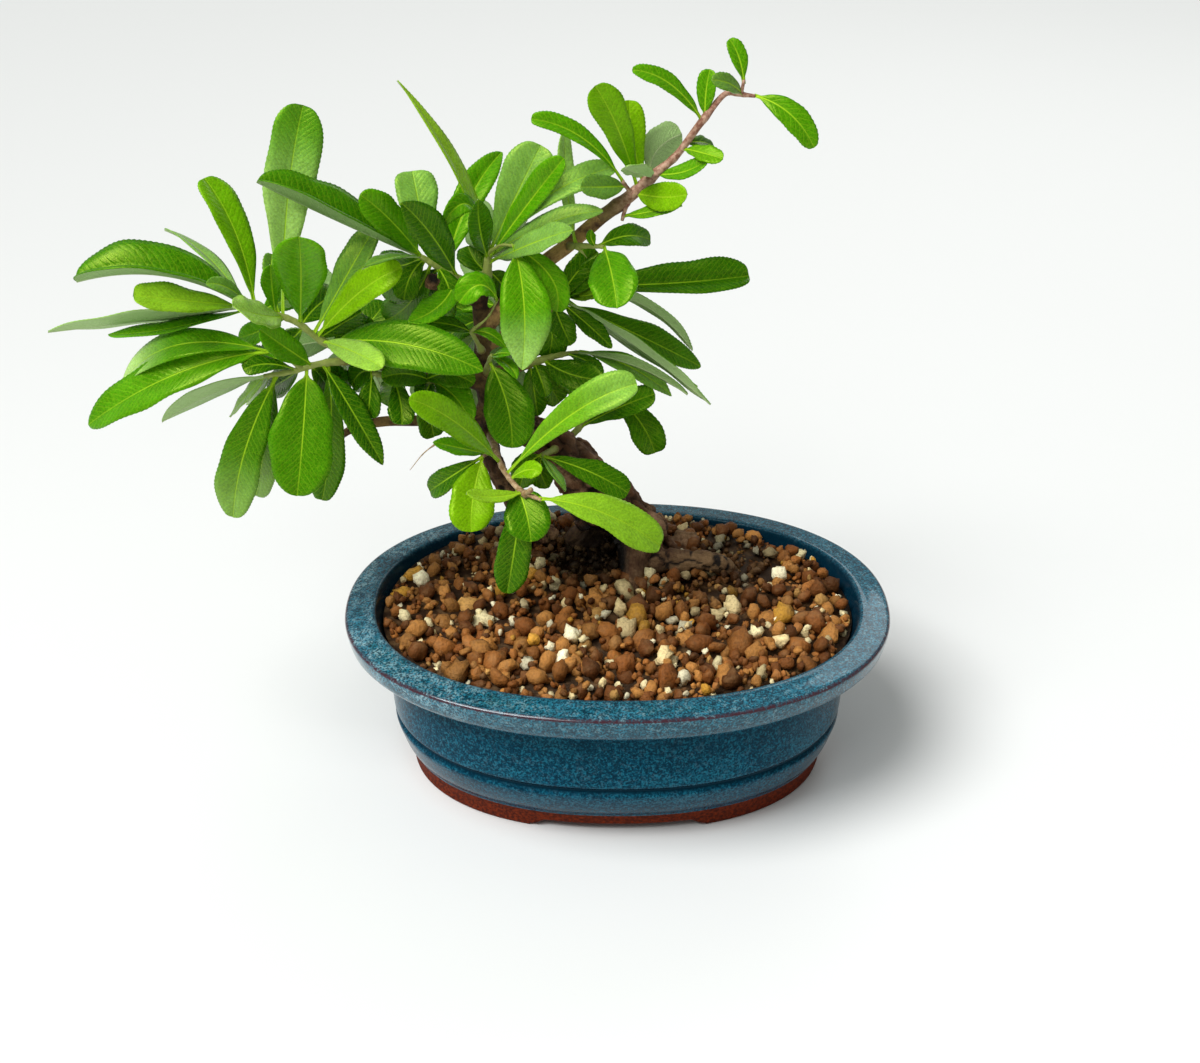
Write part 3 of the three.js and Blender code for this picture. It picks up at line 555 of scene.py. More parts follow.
def cut_away(mesh, cutter):
    """The mesh without what lies inside the cutter mesh."""
    body = add_object("body", mesh)
    tool = add_object("tool", cutter)
    cut = body.modifiers.new("cut", "BOOLEAN")
    cut.operation = "DIFFERENCE"
    cut.object = tool
    result = applied(body)
    for thing in (body, tool):
        bpy.data.objects.remove(thing)
    return result


def make_drains():
    """The two round bodies that the drain holes are cut with."""
    bm = bmesh.new()
    for x in DRAINS:
        made = bmesh.ops.create_cone(bm, cap_ends=True, segments=DRAIN_SIDES, radius1=DRAIN_RADIUS,
                                     radius2=DRAIN_RADIUS, depth=DRAIN_DEPTH)
        bmesh.ops.translate(bm, vec=POT_CENTRE + Vector((x, 0, 0)), verts=made["verts"])
    return mesh_from(bm, "drains")


def make_pot():
    """The whole pot: the section spun, pulled to the oval, and cut."""
    bm = bmesh.new()
    glaze = bm.verts.layers.float_color.new("glaze")
    outline = []
    for place, shares in section_of_pot():
        vert = bm.verts.new((place.x * MM, 0, place.y * MM))
        vert[glaze] = (*shares, 1)
        outline.append(vert)
    edges = [bm.edges.new(pair) for pair in zip(outline, outline[1:])]
    bmesh.ops.spin(bm, geom=outline + edges, cent=(0, 0, 0), axis=(0, 0, 1), angle=math.tau,
                   steps=POT_STEPS, use_merge=True)
    bmesh.ops.remove_doubles(bm, verts=bm.verts, dist=SAME_PLACE)
    bmesh.ops.holes_fill(bm, edges=[e for e in bm.edges if e.is_boundary], sides=0)
    for vert in bm.verts:
        r = math.hypot(vert.co.x, vert.co.y)
        place = on_plan(r, math.atan2(vert.co.y, vert.co.x), vert.co.z)
        lift = smoothstep(GAP_HALF_WIDTH, GAP_HALF_WIDTH - GAP_SLOPE, abs(place.x)) * GAP_HEIGHT
        vert.co = POT_CENTRE + place + UP * max(vert.co.z, lift)
    bmesh.ops.recalc_face_normals(bm, faces=bm.faces)
    mesh = cut_away(mesh_from(bm, "glazed_pot"), make_drains())
    return finish_piece("glazed_pot", mesh, [blue_glaze], ["pot"])


glazed_pot = make_pot()
print("pot faces:", len(glazed_pot.data.polygons))

# %% [markdown]
# ## The soil
# Bonsai soil is loose grain: red-brown fired clay pellets, with some pale pumice and a few golden ones.
# We pour it as real grains over a bed painted nearly black, as painted shade deep between the grains. Each
# grain is dropped at a random place and comes to rest on the bed or on the grains under it, so the pile has
# the true gaps and shadows. The grains share a few small meshes of a few dozen faces, and the `tint` layer
# gives each its own colour.

# %% Soil finishes
PELLET_COLOURS = [
    (0.330, 0.120, 0.026), (0.205, 0.066, 0.014), (0.440, 0.190, 0.045), (0.120, 0.038, 0.009),
]
PUMICE_COLOURS = [(0.95, 0.82, 0.46), (0.76, 0.60, 0.30), (1.00, 0.92, 0.62)]
TAN_COLOURS = [(0.54, 0.29, 0.08), (0.66, 0.33, 0.04)]
# The bed's near-black is painted shade: the shade deep between the grains
BED_SHADE_COLOUR = (0.026, 0.011, 0.005)
# Pores: the grains' own dark pits, with painted shade laid into them where the bump sinks
PORE_SHADE_COLOUR = (0.03, 0.012, 0.005, 1)
DUST_COLOUR = (0.42, 0.24, 0.10, 1)
GRIT_SHEEN = (1.0, 0.85, 0.6, 1)
PORES_PER_METRE = 1100.0
BLOTCHES_PER_METRE = 260.0
PORE_DEPTH = 0.7 * MM


def make_grit():
    """Grains with dark pores, partly their own dark pits and partly painted shade in the bump's low places,
    and a little dust, over each grain's own tint.
    """
    material, tree, shader = new_material("soil_grit")
    where = place_on(tree)
    pores = speckle(tree, where, PORES_PER_METRE, 3.0, 0.65)
    blotch = speckle(tree, where, BLOTCHES_PER_METRE, 2.0)
    dark = blend(tree, between(tree, pores, 0.3, 0.62, 0.38, 0.0), whole_layer(tree, "tint"), PORE_SHADE_COLOUR)
    fill(tree, shader, {
        "Base Color": blend(tree, between(tree, blotch, 0.45, 0.75, 0.0, 0.25), dark, DUST_COLOUR),
        "Roughness": 0.54,
        "Specular IOR Level": 0.26,
        "Specular Tint": GRIT_SHEEN,
        "Normal": bump(tree, pores, PORE_DEPTH, 0.8),
    })
    return material


soil_grit = make_grit()
print("made", soil_grit.name)

# %% Painted shade on the soil
# Each row is a patch of painted shade on the soil, in the hollow under the trunk's arch, by the roots and
# under the crown's left: where it appears, its reach in millimetres and its strength
SHADE_PATCHES = [
    [592, 567, 16, 1.0], [566, 550, 10, 0.8], [735, 560, 17, 0.75], [712, 588, 14, 0.5],
    [462, 545, 20, 0.42], [415, 572, 16, 0.25],
]
SHADE_PATCH_LEVEL = 51 * MM
SHADE_PATCH_CORE = 0.6


def painted_shade_at(x, y):
    """How much painted shade the soil takes at a place measured from the pot's centre."""
    most = 0
    for px, py, reach, strength in SHADE_PATCHES:
        centre = on_level(px, py, SHADE_PATCH_LEVEL) - POT_CENTRE
        distance = math.hypot(x - centre.x, y - centre.y)
        most = max(most, strength * smoothstep(reach * MM, reach * SHADE_PATCH_CORE * MM, distance))
    return most


print("damp patches:", len(SHADE_PATCHES))

# %% The bed under the grains
SOIL_EDGE = 69.0 * MM
SOIL_HEIGHT = 47.2 * MM
# Below the top, the bed's side follows the pot's inner wall: [height in millimetres, share of its size]
BED_SIDE = [[45, 0.990], [41, 0.962], [20, 0.945]]
BED_SEGMENTS = 96
BED_RINGS = 12
BED_PATCH_SHADE = 0.03
MOUND_HEIGHT = 4.4 * MM
MOUND_CENTRE = Vector((0, 20 * MM))
MOUND_REACH = 46 * MM
SWELL_HEIGHT = 0.8 * MM
SWELLS_PER_METRE = 45
# The soil is heaped higher along the pot's back, most of all at its left
BACK_RISE = 2.5 * MM
BACK_FROM = 5 * MM
BACK_TO = 42 * MM
RIGHT_FROM = -20 * MM
RIGHT_TO = 60 * MM
RIGHT_SHARE = 0.45


def soil_height(x, y):
    """The bed's height over the pot's bottom: a mound round the tree's foot."""
    distance = math.hypot(x - MOUND_CENTRE.x, y - MOUND_CENTRE.y) / MOUND_REACH
    swell = noise.noise(Vector((x, y, 0)) * SWELLS_PER_METRE) * SWELL_HEIGHT
    left = mix(1, RIGHT_SHARE, smoothstep(RIGHT_FROM, RIGHT_TO, x))
    rise = BACK_RISE * smoothstep(BACK_FROM, BACK_TO, y) * left
    return SOIL_HEIGHT + swell + rise + MOUND_HEIGHT * max(0, 1 - distance * distance)


def in_soil(x, y, room):
    """True where a grain of that size fits inside the pot's wall."""
    across, deep = SOIL_EDGE - room, short_half(SOIL_EDGE) - room
    return (abs(x) / across) ** PLAN_POWER + (abs(y) / deep) ** PLAN_POWER < 1


def make_bed(bm, tint):
    """A closed body whose top follows the mound."""
    made = bmesh.ops.create_circle(bm, cap_ends=True, segments=BED_SEGMENTS, radius=1)["verts"]
    for vert in made:
        vert.co = on_plan(SOIL_EDGE, math.atan2(vert.co.y, vert.co.x), SOIL_HEIGHT)
    top = list(bm.faces)
    width = short_half(SOIL_EDGE) / (BED_RINGS + 1)
    for _ in range(BED_RINGS):
        bmesh.ops.inset_region(bm, faces=top, thickness=width, use_even_offset=False)
    for vert in bm.verts:
        vert.co.z = soil_height(vert.co.x, vert.co.y)
    last_across, last_deep = 1, 1
    for height, share in BED_SIDE:
        across = share * end_share(height * MM)
        rim = [e for e in bm.edges if e.is_boundary]
        lower = bmesh.ops.extrude_edge_only(bm, edges=rim)["geom"]
        for vert in [g for g in lower if isinstance(g, bmesh.types.BMVert)]:
            vert.co = Vector((vert.co.x * across / last_across, vert.co.y * share / last_deep, height * MM))
        last_across, last_deep = across, share
    bmesh.ops.holes_fill(bm, edges=[e for e in bm.edges if e.is_boundary], sides=0)
    for vert in bm.verts:
        # The bed is darkened further by the painted shade of the patches
        vert[tint] = (*(Vector(BED_SHADE_COLOUR) * mix(1, BED_PATCH_SHADE, painted_shade_at(vert.co.x, vert.co.y))), 1)
        vert.co += POT_CENTRE


print("mound:", round(soil_height(MOUND_CENTRE.x, MOUND_CENTRE.y) / MM, 1), "mm high")

# %% Grains that fall into place
GRAIN_SEED = 5
GRAIN_TRIES = 4600
GRAIN_RADII = (0.85, 3.8)
# The larger this is, the fewer large grains there are
GRAIN_FINENESS = 2.3
GRAIN_ROOM = 0.9
PILE_HEIGHT = 3.2 * MM
# A grain lies this much of its radius over the bed, and of both radii from the grain under it
BED_SINK = 0.25
GRAIN_SINK = 0.72
# Grains are smaller inside the painted shade patches, and from the pot's front to this far behind its
# middle
SHADE_PATCH_SIZE = 0.55
FRONT_SIZE = 1.08
BACK_SIZE = 0.8
BACK_REACH = 40 * MM


def pour_grains():
    """Where each grain comes to rest, with its radius, and the random draws to go on with."""
    draw = random.Random(GRAIN_SEED)
    rested = []
    for _ in range(GRAIN_TRIES):
        radius = mix(*GRAIN_RADII, draw.random() ** GRAIN_FINENESS) * MM
        x = draw.uniform(-SOIL_EDGE, SOIL_EDGE)
        y = draw.uniform(-short_half(SOIL_EDGE), short_half(SOIL_EDGE))
        if not in_soil(x, y, radius * GRAIN_ROOM):
            continue
        by_depth = mix(FRONT_SIZE, BACK_SIZE, smoothstep(-BACK_REACH, BACK_REACH, y))
        radius *= mix(1, SHADE_PATCH_SIZE, painted_shade_at(x, y)) * by_depth
        ground = soil_height(x, y)
        z = ground + radius * BED_SINK
        for place, other in rested:
            reach = (radius + other) * GRAIN_SINK
            flat = (x - place.x) ** 2 + (y - place.y) ** 2
            if flat < reach * reach:
                z = max(z, place.z + math.sqrt(reach * reach - flat))
        if z < ground + PILE_HEIGHT:
            rested.append((Vector((x, y, z)), radius))
    return rested, draw


resting_grains, grain_draw = pour_grains()
print("grains at rest:", len(resting_grains))

# %% Shapes and colours of the grains
# Each kind of grain: how many shapes it has, and how rough they are
GRAIN_KINDS = {"pellet": (10, 0.27), "pumice": (7, 0.38)}
GRAIN_SEGMENTS = 8
GRAIN_RINGS = 6
GRAIN_LUMPS = 1.5
GRAIN_LENGTH = 1.1
GRAIN_WIDTHS = (0.75, 1)
GRAIN_HEIGHTS = (0.65, 0.9)
NOISE_SPAN = 50
PUMICE_SHARE = 0.14
TAN_SHARE = 0.18
BRIGHTNESS = (0.62, 1.36)
# A patch's painted shade darkens pellets everywhere, and pumice only where the patch is stronger than this
SHADED_PUMICE_FROM = 0.3
GRAIN_PATCH_SHADE = 0.02


def grain_shapes(draw):
    """A few small grain meshes of each kind."""
    shapes = {}
    for kind, (many, rough) in GRAIN_KINDS.items():
        shapes[kind] = []
        for _ in range(many):
            bm = bmesh.new()
            bmesh.ops.create_uvsphere(bm, u_segments=GRAIN_SEGMENTS, v_segments=GRAIN_RINGS, radius=1)
            shift = Vector([draw.uniform(0, NOISE_SPAN) for _ in range(3)])
            for vert in bm.verts:
                vert.co *= 1 + rough * noise.noise(vert.co * GRAIN_LUMPS + shift) * 2
            sizes = GRAIN_LENGTH, draw.uniform(*GRAIN_WIDTHS), draw.uniform(*GRAIN_HEIGHTS)
            bmesh.ops.scale(bm, vec=sizes, verts=bm.verts)
            shapes[kind].append(mesh_from(bm, kind))
    return shapes


def grain_look(draw, painted_shade):
    """A grain's kind and its colour."""
    chance = draw.random()
    kind = "pumice" if chance < PUMICE_SHARE else "pellet"
    colours = TAN_COLOURS if chance < TAN_SHARE else PELLET_COLOURS
    if kind == "pumice":
        colours = PUMICE_COLOURS
    colour = Vector(draw.choice(colours)) * draw.uniform(*BRIGHTNESS)
    if kind == "pellet" or painted_shade > SHADED_PUMICE_FROM:
        colour *= mix(1, GRAIN_PATCH_SHADE, painted_shade)
    return kind, colour


def make_soil(rested, draw):
    """The bed and all its grains in one piece."""
    bm = bmesh.new()
    tint = bm.verts.layers.float_color.new("tint")
    make_bed(bm, tint)
    shapes = grain_shapes(draw)
    for place, radius in rested:
        kind, colour = grain_look(draw, painted_shade_at(place.x, place.y))
        verts = add_mesh(bm, draw.choice(shapes[kind]))
        turn = Vector([draw.random() for _ in range(3)]) * math.tau
        rotation = Euler(turn).to_matrix()
        for vert in verts:
            vert.co = POT_CENTRE + place + rotation @ vert.co * radius
            vert[tint] = (*colour, 1)
    return finish_piece("soil_grains", mesh_from(bm, "soil_grains"), [soil_grit], ["soil"])


soil_grains = make_soil(resting_grains, grain_draw)
print("soil faces:", len(soil_grains.data.polygons))

# %% [markdown]
# ## Bark
# Old firethorn bark is grey-brown, split by dark crevices and rubbed pale on its ridges. The young branches
# are smooth and olive-brown. One material does both. The mesh's `wood` layer holds how old the wood is, how
# dark its crevices are, partly their own dark and partly painted shade, and how much painted shade of the
# hollow under the arch falls on it, and the material mixes its finishes by them.
# The `strands` layer holds a place that is stretched along each limb, so noise read there makes fibres.

# %% Bark finish
BARK_PALE = (0.390, 0.230, 0.130, 1)
BARK_BROWN = (0.130, 0.058, 0.026, 1)
# Crevice colour: partly the bark's dark fissures, partly painted shade in the carved creases and pits
BARK_CREVICE_SHADE = (0.010, 0.006, 0.004, 1)
# Painted shade of the hollow under the arch, nearly black
BARK_HOLLOW_SHADE = (0.0012, 0.0010, 0.0008, 1)
BRANCH_OLIVE = (0.420, 0.260, 0.090, 1)
BRANCH_BROWN = (0.075, 0.034, 0.018, 1)
BARK_PATCHES_PER_METRE = 120.0
BARK_GRAIN_PER_METRE = 700.0
FIBRES_PER_METRE = 900.0
BARK_RELIEF = 0.9 * MM


def make_bark():
    """Old bark and young branches, mixed by the mesh's layers."""
    material, tree, shader = new_material("bark")
    where = place_on(tree)
    old, crevice, painted_shade = layer(tree, "wood")[:3]
    coarse = speckle(tree, where, BARK_PATCHES_PER_METRE, 5.0, 0.65)
    fine = speckle(tree, where, BARK_GRAIN_PER_METRE, 4.0, 0.7)
    fibre = speckle(tree, whole_layer(tree, "strands", "Vector"), FIBRES_PER_METRE, 4.0, 0.75)
    aged = coated(
        tree, BARK_BROWN,
        (between(tree, coarse, 0.38, 0.62), BARK_PALE),
        (between(tree, fine, 0.35, 0.6, 0.6, 0.0), BARK_BROWN),
        (product(tree, between(tree, fibre, 0.34, 0.48, 1.0, 0.0), 0.55), BARK_CREVICE_SHADE),
    )
    young = blend(tree, between(tree, coarse, 0.4, 0.6), BRANCH_BROWN, BRANCH_OLIVE)
    fill(tree, shader, {
        "Base Color": coated(
            tree, young, (old, aged), (crevice, BARK_CREVICE_SHADE), (product(tree, painted_shade, 0.98), BARK_HOLLOW_SHADE)),
        "Roughness": between(tree, painted_shade, 0.0, 1.0, 0.82, 0.5),
        "Specular IOR Level": 0.20,
        "Normal": bump(tree, total(tree, product(tree, fibre, 1.5), fine), BARK_RELIEF, 0.7),
    })
    return material


bark = make_bark()
print("made", bark.name)

# %% [markdown]
# ## The trunk and its roots
# A trunk is one body that grew in one piece. We lay closed tubes along the wood's lines, and let a voxel
# remesh melt them into one skin. An egg-shaped body cuts out the hollow under the arch. Then we press
# furrows, knots and pits into the skin, with noise that runs along the grain. Where the noise cuts deepest
# we also write a crevice value, which darkens the bark's colour there: partly the fissures' own dark,
# partly painted shade in them. Near the hollow we write painted shade as well.

# %% The lines of the wood
# Each point is [x, y, depth, radius]: a place in the picture, and millimetres
WOOD = {
  "stump": [
    [652, 548, 22, 7.4], [627, 530, 22, 9.6], [597, 495, 22, 9.0], [573, 463, 21, 7.8],
    [544, 438, 19, 5.4], [512, 421, 17, 4.2], [491, 398, 16, 3.6],
  ],
  "leader": [
    [489, 400, 16, 3.3], [481, 370, 15, 2.4], [483, 340, 15, 2.3], [480, 306, 15, 2.2],
    [485, 282, 14.5, 2.1],
  ],
  "leg": [
    [488, 392, 16, 2.8], [487, 430, 17, 2.8], [497, 470, 20, 3], [521, 506, 27, 3.4],
    [545, 538, 32, 3.7],
  ],
  "branchLeft": [
    [486, 385, 15, 2.4], [455, 378, 12, 2], [415, 372, 8, 1.9], [385, 366, 4, 1.7], [356, 354, 1.5, 1.5],
  ],
  "branchLow": [
    [489, 410, 16, 2.2], [455, 420, 15, 1.8], [415, 421, 14, 1.6], [380, 422, 13, 1.5],
    [350, 430, 12, 1.3], [336, 440, 12, 1],
  ],
  "branchRight": [
    [485, 330, 15, 2.3], [515, 290, 16, 2.2], [545, 262, 17, 2.1], [571, 243, 18, 2.1],
    [604, 215, 19, 2],
  ],
  "stub": [[480, 304, 15, 2.1], [457, 287, 10, 2.2], [429, 281, 3, 2.1]],
  "branchK": [[487, 345, 16, 2], [505, 336, 19, 1.8], [518, 328, 20.5, 1.6]],
  "branchKLow": [[485, 376, 16, 2], [508, 369, 18, 1.7], [526, 365, 18.6, 1.5]],
  "spur": [[655, 545, 24, 5.2], [672, 556, 28, 5.2], [685, 545, 31, 4.8], [686, 531, 33, 3.6]],
  "lump": [[602, 520, 28, 3.6], [589, 534, 30, 4.4], [575, 543, 31, 3.6], [566, 552, 31, 2.4]],
}
ROOTS = {
  "rootFront": [[634, 540, 16, 4.4], [633, 566, 12, 4.2], [634, 602, 7, 4.2], [634, 634, 7, 3]],
  "rootRight": [
    [646, 557, 17, 4.0], [676, 561, 16, 3.1], [708, 561, 16, 2.9], [726, 567, 17, 2.5], [739, 583, 18, 1.5],
  ],
  "rootLeft": [[545, 532, 31, 3.8], [547, 552, 34, 3.7], [547, 576, 35, 3.2], [547, 596, 35, 2.4]],
  "rootBack": [[634, 545, 28, 5], [620, 560, 34, 4.4], [614, 590, 37, 3]],
}
LIMBS = {**WOOD, **ROOTS}
THICK_WOOD = ["stump", "spur", "lump"]
OLD_WOOD = [*THICK_WOOD, "stub", "leg", *ROOTS]
# How rough the bark is, and how dark, where it differs from the old trunk's. The lump's darkness is painted
# shade of the hollow under the arch
ROUGHNESS = {"rootRight": 1.25, "rootFront": 0.35, "spur": 0.55}
DARKNESS = {
  "leader": 0.62, "branchLeft": 0.6, "branchLow": 0.4, "branchKLow": 0.5, "leg": 0.35,
  "rootRight": 0.50, "rootFront": 0.40, "spur": 0.15, "lump": 0.75,
}
print("limbs:", len(LIMBS), "of them old:", len(OLD_WOOD))

# %% Melt the limbs into one skin
VOXEL = 0.62 * MM
MELT_ROUNDS = 3
MELT_FACTOR = 0.5
LIMB_STEP = 1.5 * MM
THICK_SIDES = 20
THIN_SIDES = 14
# The dark hollow under the trunk's arch: where its middle appears, its depth, and its half sizes
HOLLOW = (593, 556, 15)
HOLLOW_HALF_SIZES = Vector((8.6, 12.0, 9.5)) * MM


def trunk_swell(name):
    """How a limb's radius changes along it and round it. Each limb has a phase of its own."""
    phase = len(name)

    def thin(t, angle):
        return 1 + 0.06 * math.sin(3 * angle + 5 * t + phase)

    def thick(t, angle):
        return 1 + 0.10 * math.sin(3 * angle + 4 * t) + 0.08 * math.sin(2 * angle - 7 * t + phase)

    return thick if name in THICK_WOOD else thin


def melted_limbs():
    """One closed skin round all the limbs."""
    bm = bmesh.new()
    for name, rows in LIMBS.items():
        sides = THICK_SIDES if name in THICK_WOOD else THIN_SIDES
        limb(bm, rows, sides, LIMB_STEP, trunk_swell(name))
    raw = add_object("raw", mesh_from(bm, "raw"))
    remesh = raw.modifiers.new("melt", "REMESH")
    remesh.mode = "VOXEL"
    remesh.voxel_size = VOXEL
    soften = raw.modifiers.new("soften", "SMOOTH")
    soften.iterations = MELT_ROUNDS
    soften.factor = MELT_FACTOR
    skin = applied(raw)
    bpy.data.objects.remove(raw)
    return skin


def hollow_cutter():
    """An egg-shaped body as large as the hollow."""
    bm = bmesh.new()
    made = bmesh.ops.create_icosphere(bm, subdivisions=4, radius=1)["verts"]
    bmesh.ops.scale(bm, vec=HOLLOW_HALF_SIZES, verts=made)
    bmesh.ops.translate(bm, vec=sight(*HOLLOW), verts=made)
    return mesh_from(bm, "hollow")


trunk_skin = cut_away(melted_limbs(), hollow_cutter())
print("skin faces:", len(trunk_skin.polygons))

# %% Carve the bark
LINE_STEPS = 24
THIN_WOOD = 1.5 * MM
FULL_WOOD = 6 * MM
SHADE_REACH = 13.5 * MM
SHADE_CORE = 0.75
# The bark's fibres: noise stretched along each limb
STRAND_AXIS = Vector((0.58, 0.58, 0.58))
STRAND_STRETCH = 5
# Its plates, with creases between them
PLATES_PER_METRE = 160
PLATE_STRETCH = 0.6
PLATE_WARP = 0.4
CREASE_WIDTH = 0.20
# Its knots, and its pits
KNOTS_PER_METRE = 95
PITS_PER_METRE = 180
PIT_SHIFT = Vector((40, 0, 9))
# How high each stands, in millimetres on thick old wood
KNOT_HEIGHT = 1.7
PLATE_HEIGHT = 0.5
CREASE_DEPTH = 1.3
PIT_DEPTH = 0.9


def wood_lines():
    """Points along the wood: each with its direction, its radius, how old, rough and dark the wood is
    there, and how far along its limb it lies."""
    lines = []
    for name, rows in LIMBS.items():
        points = line_of(rows)
        own = 1.0 if name in OLD_WOOD else 0.0, ROUGHNESS.get(name, 1.0), DARKNESS.get(name, 0.0)
        run, last = 0, points[0]
        for step in range(LINE_STEPS + 1):
            place, ahead = curve_point(points, step / LINE_STEPS)
            run, last = run + (place - last).length, place
            lines.append((place, ahead, radius_at(rows, step / LINE_STEPS), own, run))
    return lines


def bark_relief(place, along, old):
    """How far the bark stands out at a place, in millimetres, and how deep a crevice it lies in."""
    grain = (place - along * PLATE_STRETCH) * PLATES_PER_METRE
    near = noise.voronoi(grain + noise.noise_vector(grain * 0.8) * PLATE_WARP)[0]
    crease = smoothstep(CREASE_WIDTH, 0.0, near[1] - near[0])
    knot = noise.fractal(place * KNOTS_PER_METRE, 0.9, 2.1, 4)
    pit = smoothstep(0.30, 0.55, noise.noise(place * PITS_PER_METRE + PIT_SHIFT))
    relief = knot * KNOT_HEIGHT + (PLATE_HEIGHT - crease * CREASE_DEPTH) * old - pit * PIT_DEPTH * old
    return relief, max(crease * 0.85, pit, smoothstep(0.0, -0.5, knot) * 0.5)


def make_trunk(skin):
    """Presses the bark's relief into the skin, and writes the wood and strands layers."""
    lines = wood_lines()
    hollow_centre = sight(*HOLLOW)
    bm = bmesh.new()
    bm.from_mesh(skin)
    bmesh.ops.recalc_face_normals(bm, faces=bm.faces)
    bm.normal_update()
    wood = bm.verts.layers.float_color.new("wood")
    strands = bm.verts.layers.float_color.new("strands")
    moves = []
    for vert in bm.verts:
        place, ahead, radius, own, run = min(lines, key=lambda row: (row[0] - vert.co).length - row[2])
        old, rough, dark = own
        size = smoothstep(THIN_WOOD, FULL_WOOD, radius)
        offset = vert.co - place
        along = ahead * offset.dot(ahead)
        stretched = offset - along + STRAND_AXIS * (run + offset.dot(ahead)) / STRAND_STRETCH
        vert[strands] = (*stretched, 1)
        # The crevice value darkens the bark: partly its fissures' own dark, partly painted shade in the
        # carved recesses
        relief, crevice = bark_relief(vert.co, along, old)
        moves.append((vert, vert.normal * relief * rough * mix(0.12, 1.0, size) * MM * mix(0.5, 1, old)))
        # Painted shade of the hollow under the arch, kept in the wood layer's blue
        shaded = smoothstep(SHADE_REACH, SHADE_REACH * SHADE_CORE, (vert.co - hollow_centre).length)
        vert[wood] = (old * mix(0.55, 1.0, size), max(crevice * old * rough, dark), shaded, 1)
    for vert, move in moves:
        vert.co += move
    return finish_piece("tree_trunk", mesh_from(bm, "tree_trunk"), [bark], ["trunk"])


tree_trunk = make_trunk(trunk_skin)
print("trunk faces:", len(tree_trunk.data.polygons))

# %% [markdown]
# ## Leaves
# A firethorn leaf is narrow at its stalk, widest past its middle, blunt at its tip, and finely toothed
# along its margin. It is folded a little along its rib, glossy above and dull and greyer below. The same
# vein pattern shows on both faces, so it is a node group: pale side veins run out from the rib at a
# slant. The leaf's `blade` map counts in centimetres across and along the leaf, so the veins keep one
# scale on every leaf.

# %% Vein pattern
VEINS_PER_CM = 5.2
VEIN_SLANT = 1.15
VEIN_WANDER = 0.24
WANDER_PER_CM = 2.2
NET_PER_CM = 13.0
MOTTLE_PER_CM = 1.6
GRAIN_PER_CM = 16.0


def make_vein_group():
    """The vein pattern, with its rib, its mottling, the puffed cells between veins and a fine grain."""
    group = bpy.data.node_groups.new("leaf_veins", "ShaderNodeTree")
    group.interface.new_socket("Blade", in_out="INPUT", socket_type="NodeSocketVector")
    for name in ("Vein", "Rib", "Mottle", "Puff", "Grain"):
        group.interface.new_socket(name, in_out="OUTPUT", socket_type="NodeSocketFloat")
    source = add_node(group, "NodeGroupInput").outputs["Blade"]
    split = add_node(group, "ShaderNodeSeparateXYZ", {"Vector": source}).outputs
    side = calculate(group, "ABSOLUTE", split["X"])
    wander = speckle(group, source, WANDER_PER_CM, 3.0, 0.6)
    along = calculate(group, "SUBTRACT", split["Y"], product(group, side, VEIN_SLANT))
    along = total(group, along, product(group, wander, VEIN_WANDER))
    wave = calculate(group, "PINGPONG", product(group, along, VEINS_PER_CM), 0.5)
    vein = between(group, wave, 0.01, 0.09, 1.0, 0.0)
    fade = between(group, side, 0.02, 0.75, 1.0, 0.45)
    net_inputs = {"Vector": source, "Scale": NET_PER_CM}
    net = add_node(group, "ShaderNodeTexVoronoi", net_inputs, feature="DISTANCE_TO_EDGE")
    cells = between(group, net.outputs["Distance"], 0.0, 0.10, 0.55, 0.0)
    fill(group, add_node(group, "NodeGroupOutput"), {
        "Vein": calculate(group, "MAXIMUM", product(group, vein, fade), cells),
        "Rib": between(group, side, 0.008, 0.030, 1.0, 0.0),
        "Mottle": speckle(group, source, MOTTLE_PER_CM, 3.0),
        "Puff": product(group, between(group, wave, 0.0, 0.35), between(group, side, 0.0, 0.12)),
        "Grain": speckle(group, source, GRAIN_PER_CM, 3.0, 0.7),
    })
    return group


vein_group = make_vein_group()
print("made", vein_group.name)

# %% Leaf finishes
LEAF_DARK = (0.011, 0.090, 0.0005, 1)
LEAF_GREEN = (0.063, 0.258, 0.001, 1)
LEAF_YOUNG = (0.245, 0.465, 0.002, 1)
LEAF_PALE_SHEEN = (0.360, 0.570, 0.150, 1)
LEAF_OLIVE = (0.120, 0.210, 0.008, 1)
LEAF_SHEEN = (0.78, 1.0, 0.12, 1)
LEAF_DEPTH_TINT = (0.4, 0.7, 0.05)
RIB_GREEN = (0.350, 0.590, 0.018, 1)
UNDER_GREY = (0.390, 0.580, 0.220, 1)
UNDER_DEEP = (0.175, 0.325, 0.075, 1)
UNDER_RIB = (0.460, 0.590, 0.270, 1)
LEAF_RELIEF = 0.16 * MM
UNDER_RELIEF = 0.4 * MM


def veins_in(tree):
    """The vein group placed in a leaf's material."""
    blade = add_node(tree, "ShaderNodeUVMap", uv_map="blade").outputs["UV"]
    return add_node(tree, "ShaderNodeGroup", {"Blade": blade}, node_tree=vein_group).outputs


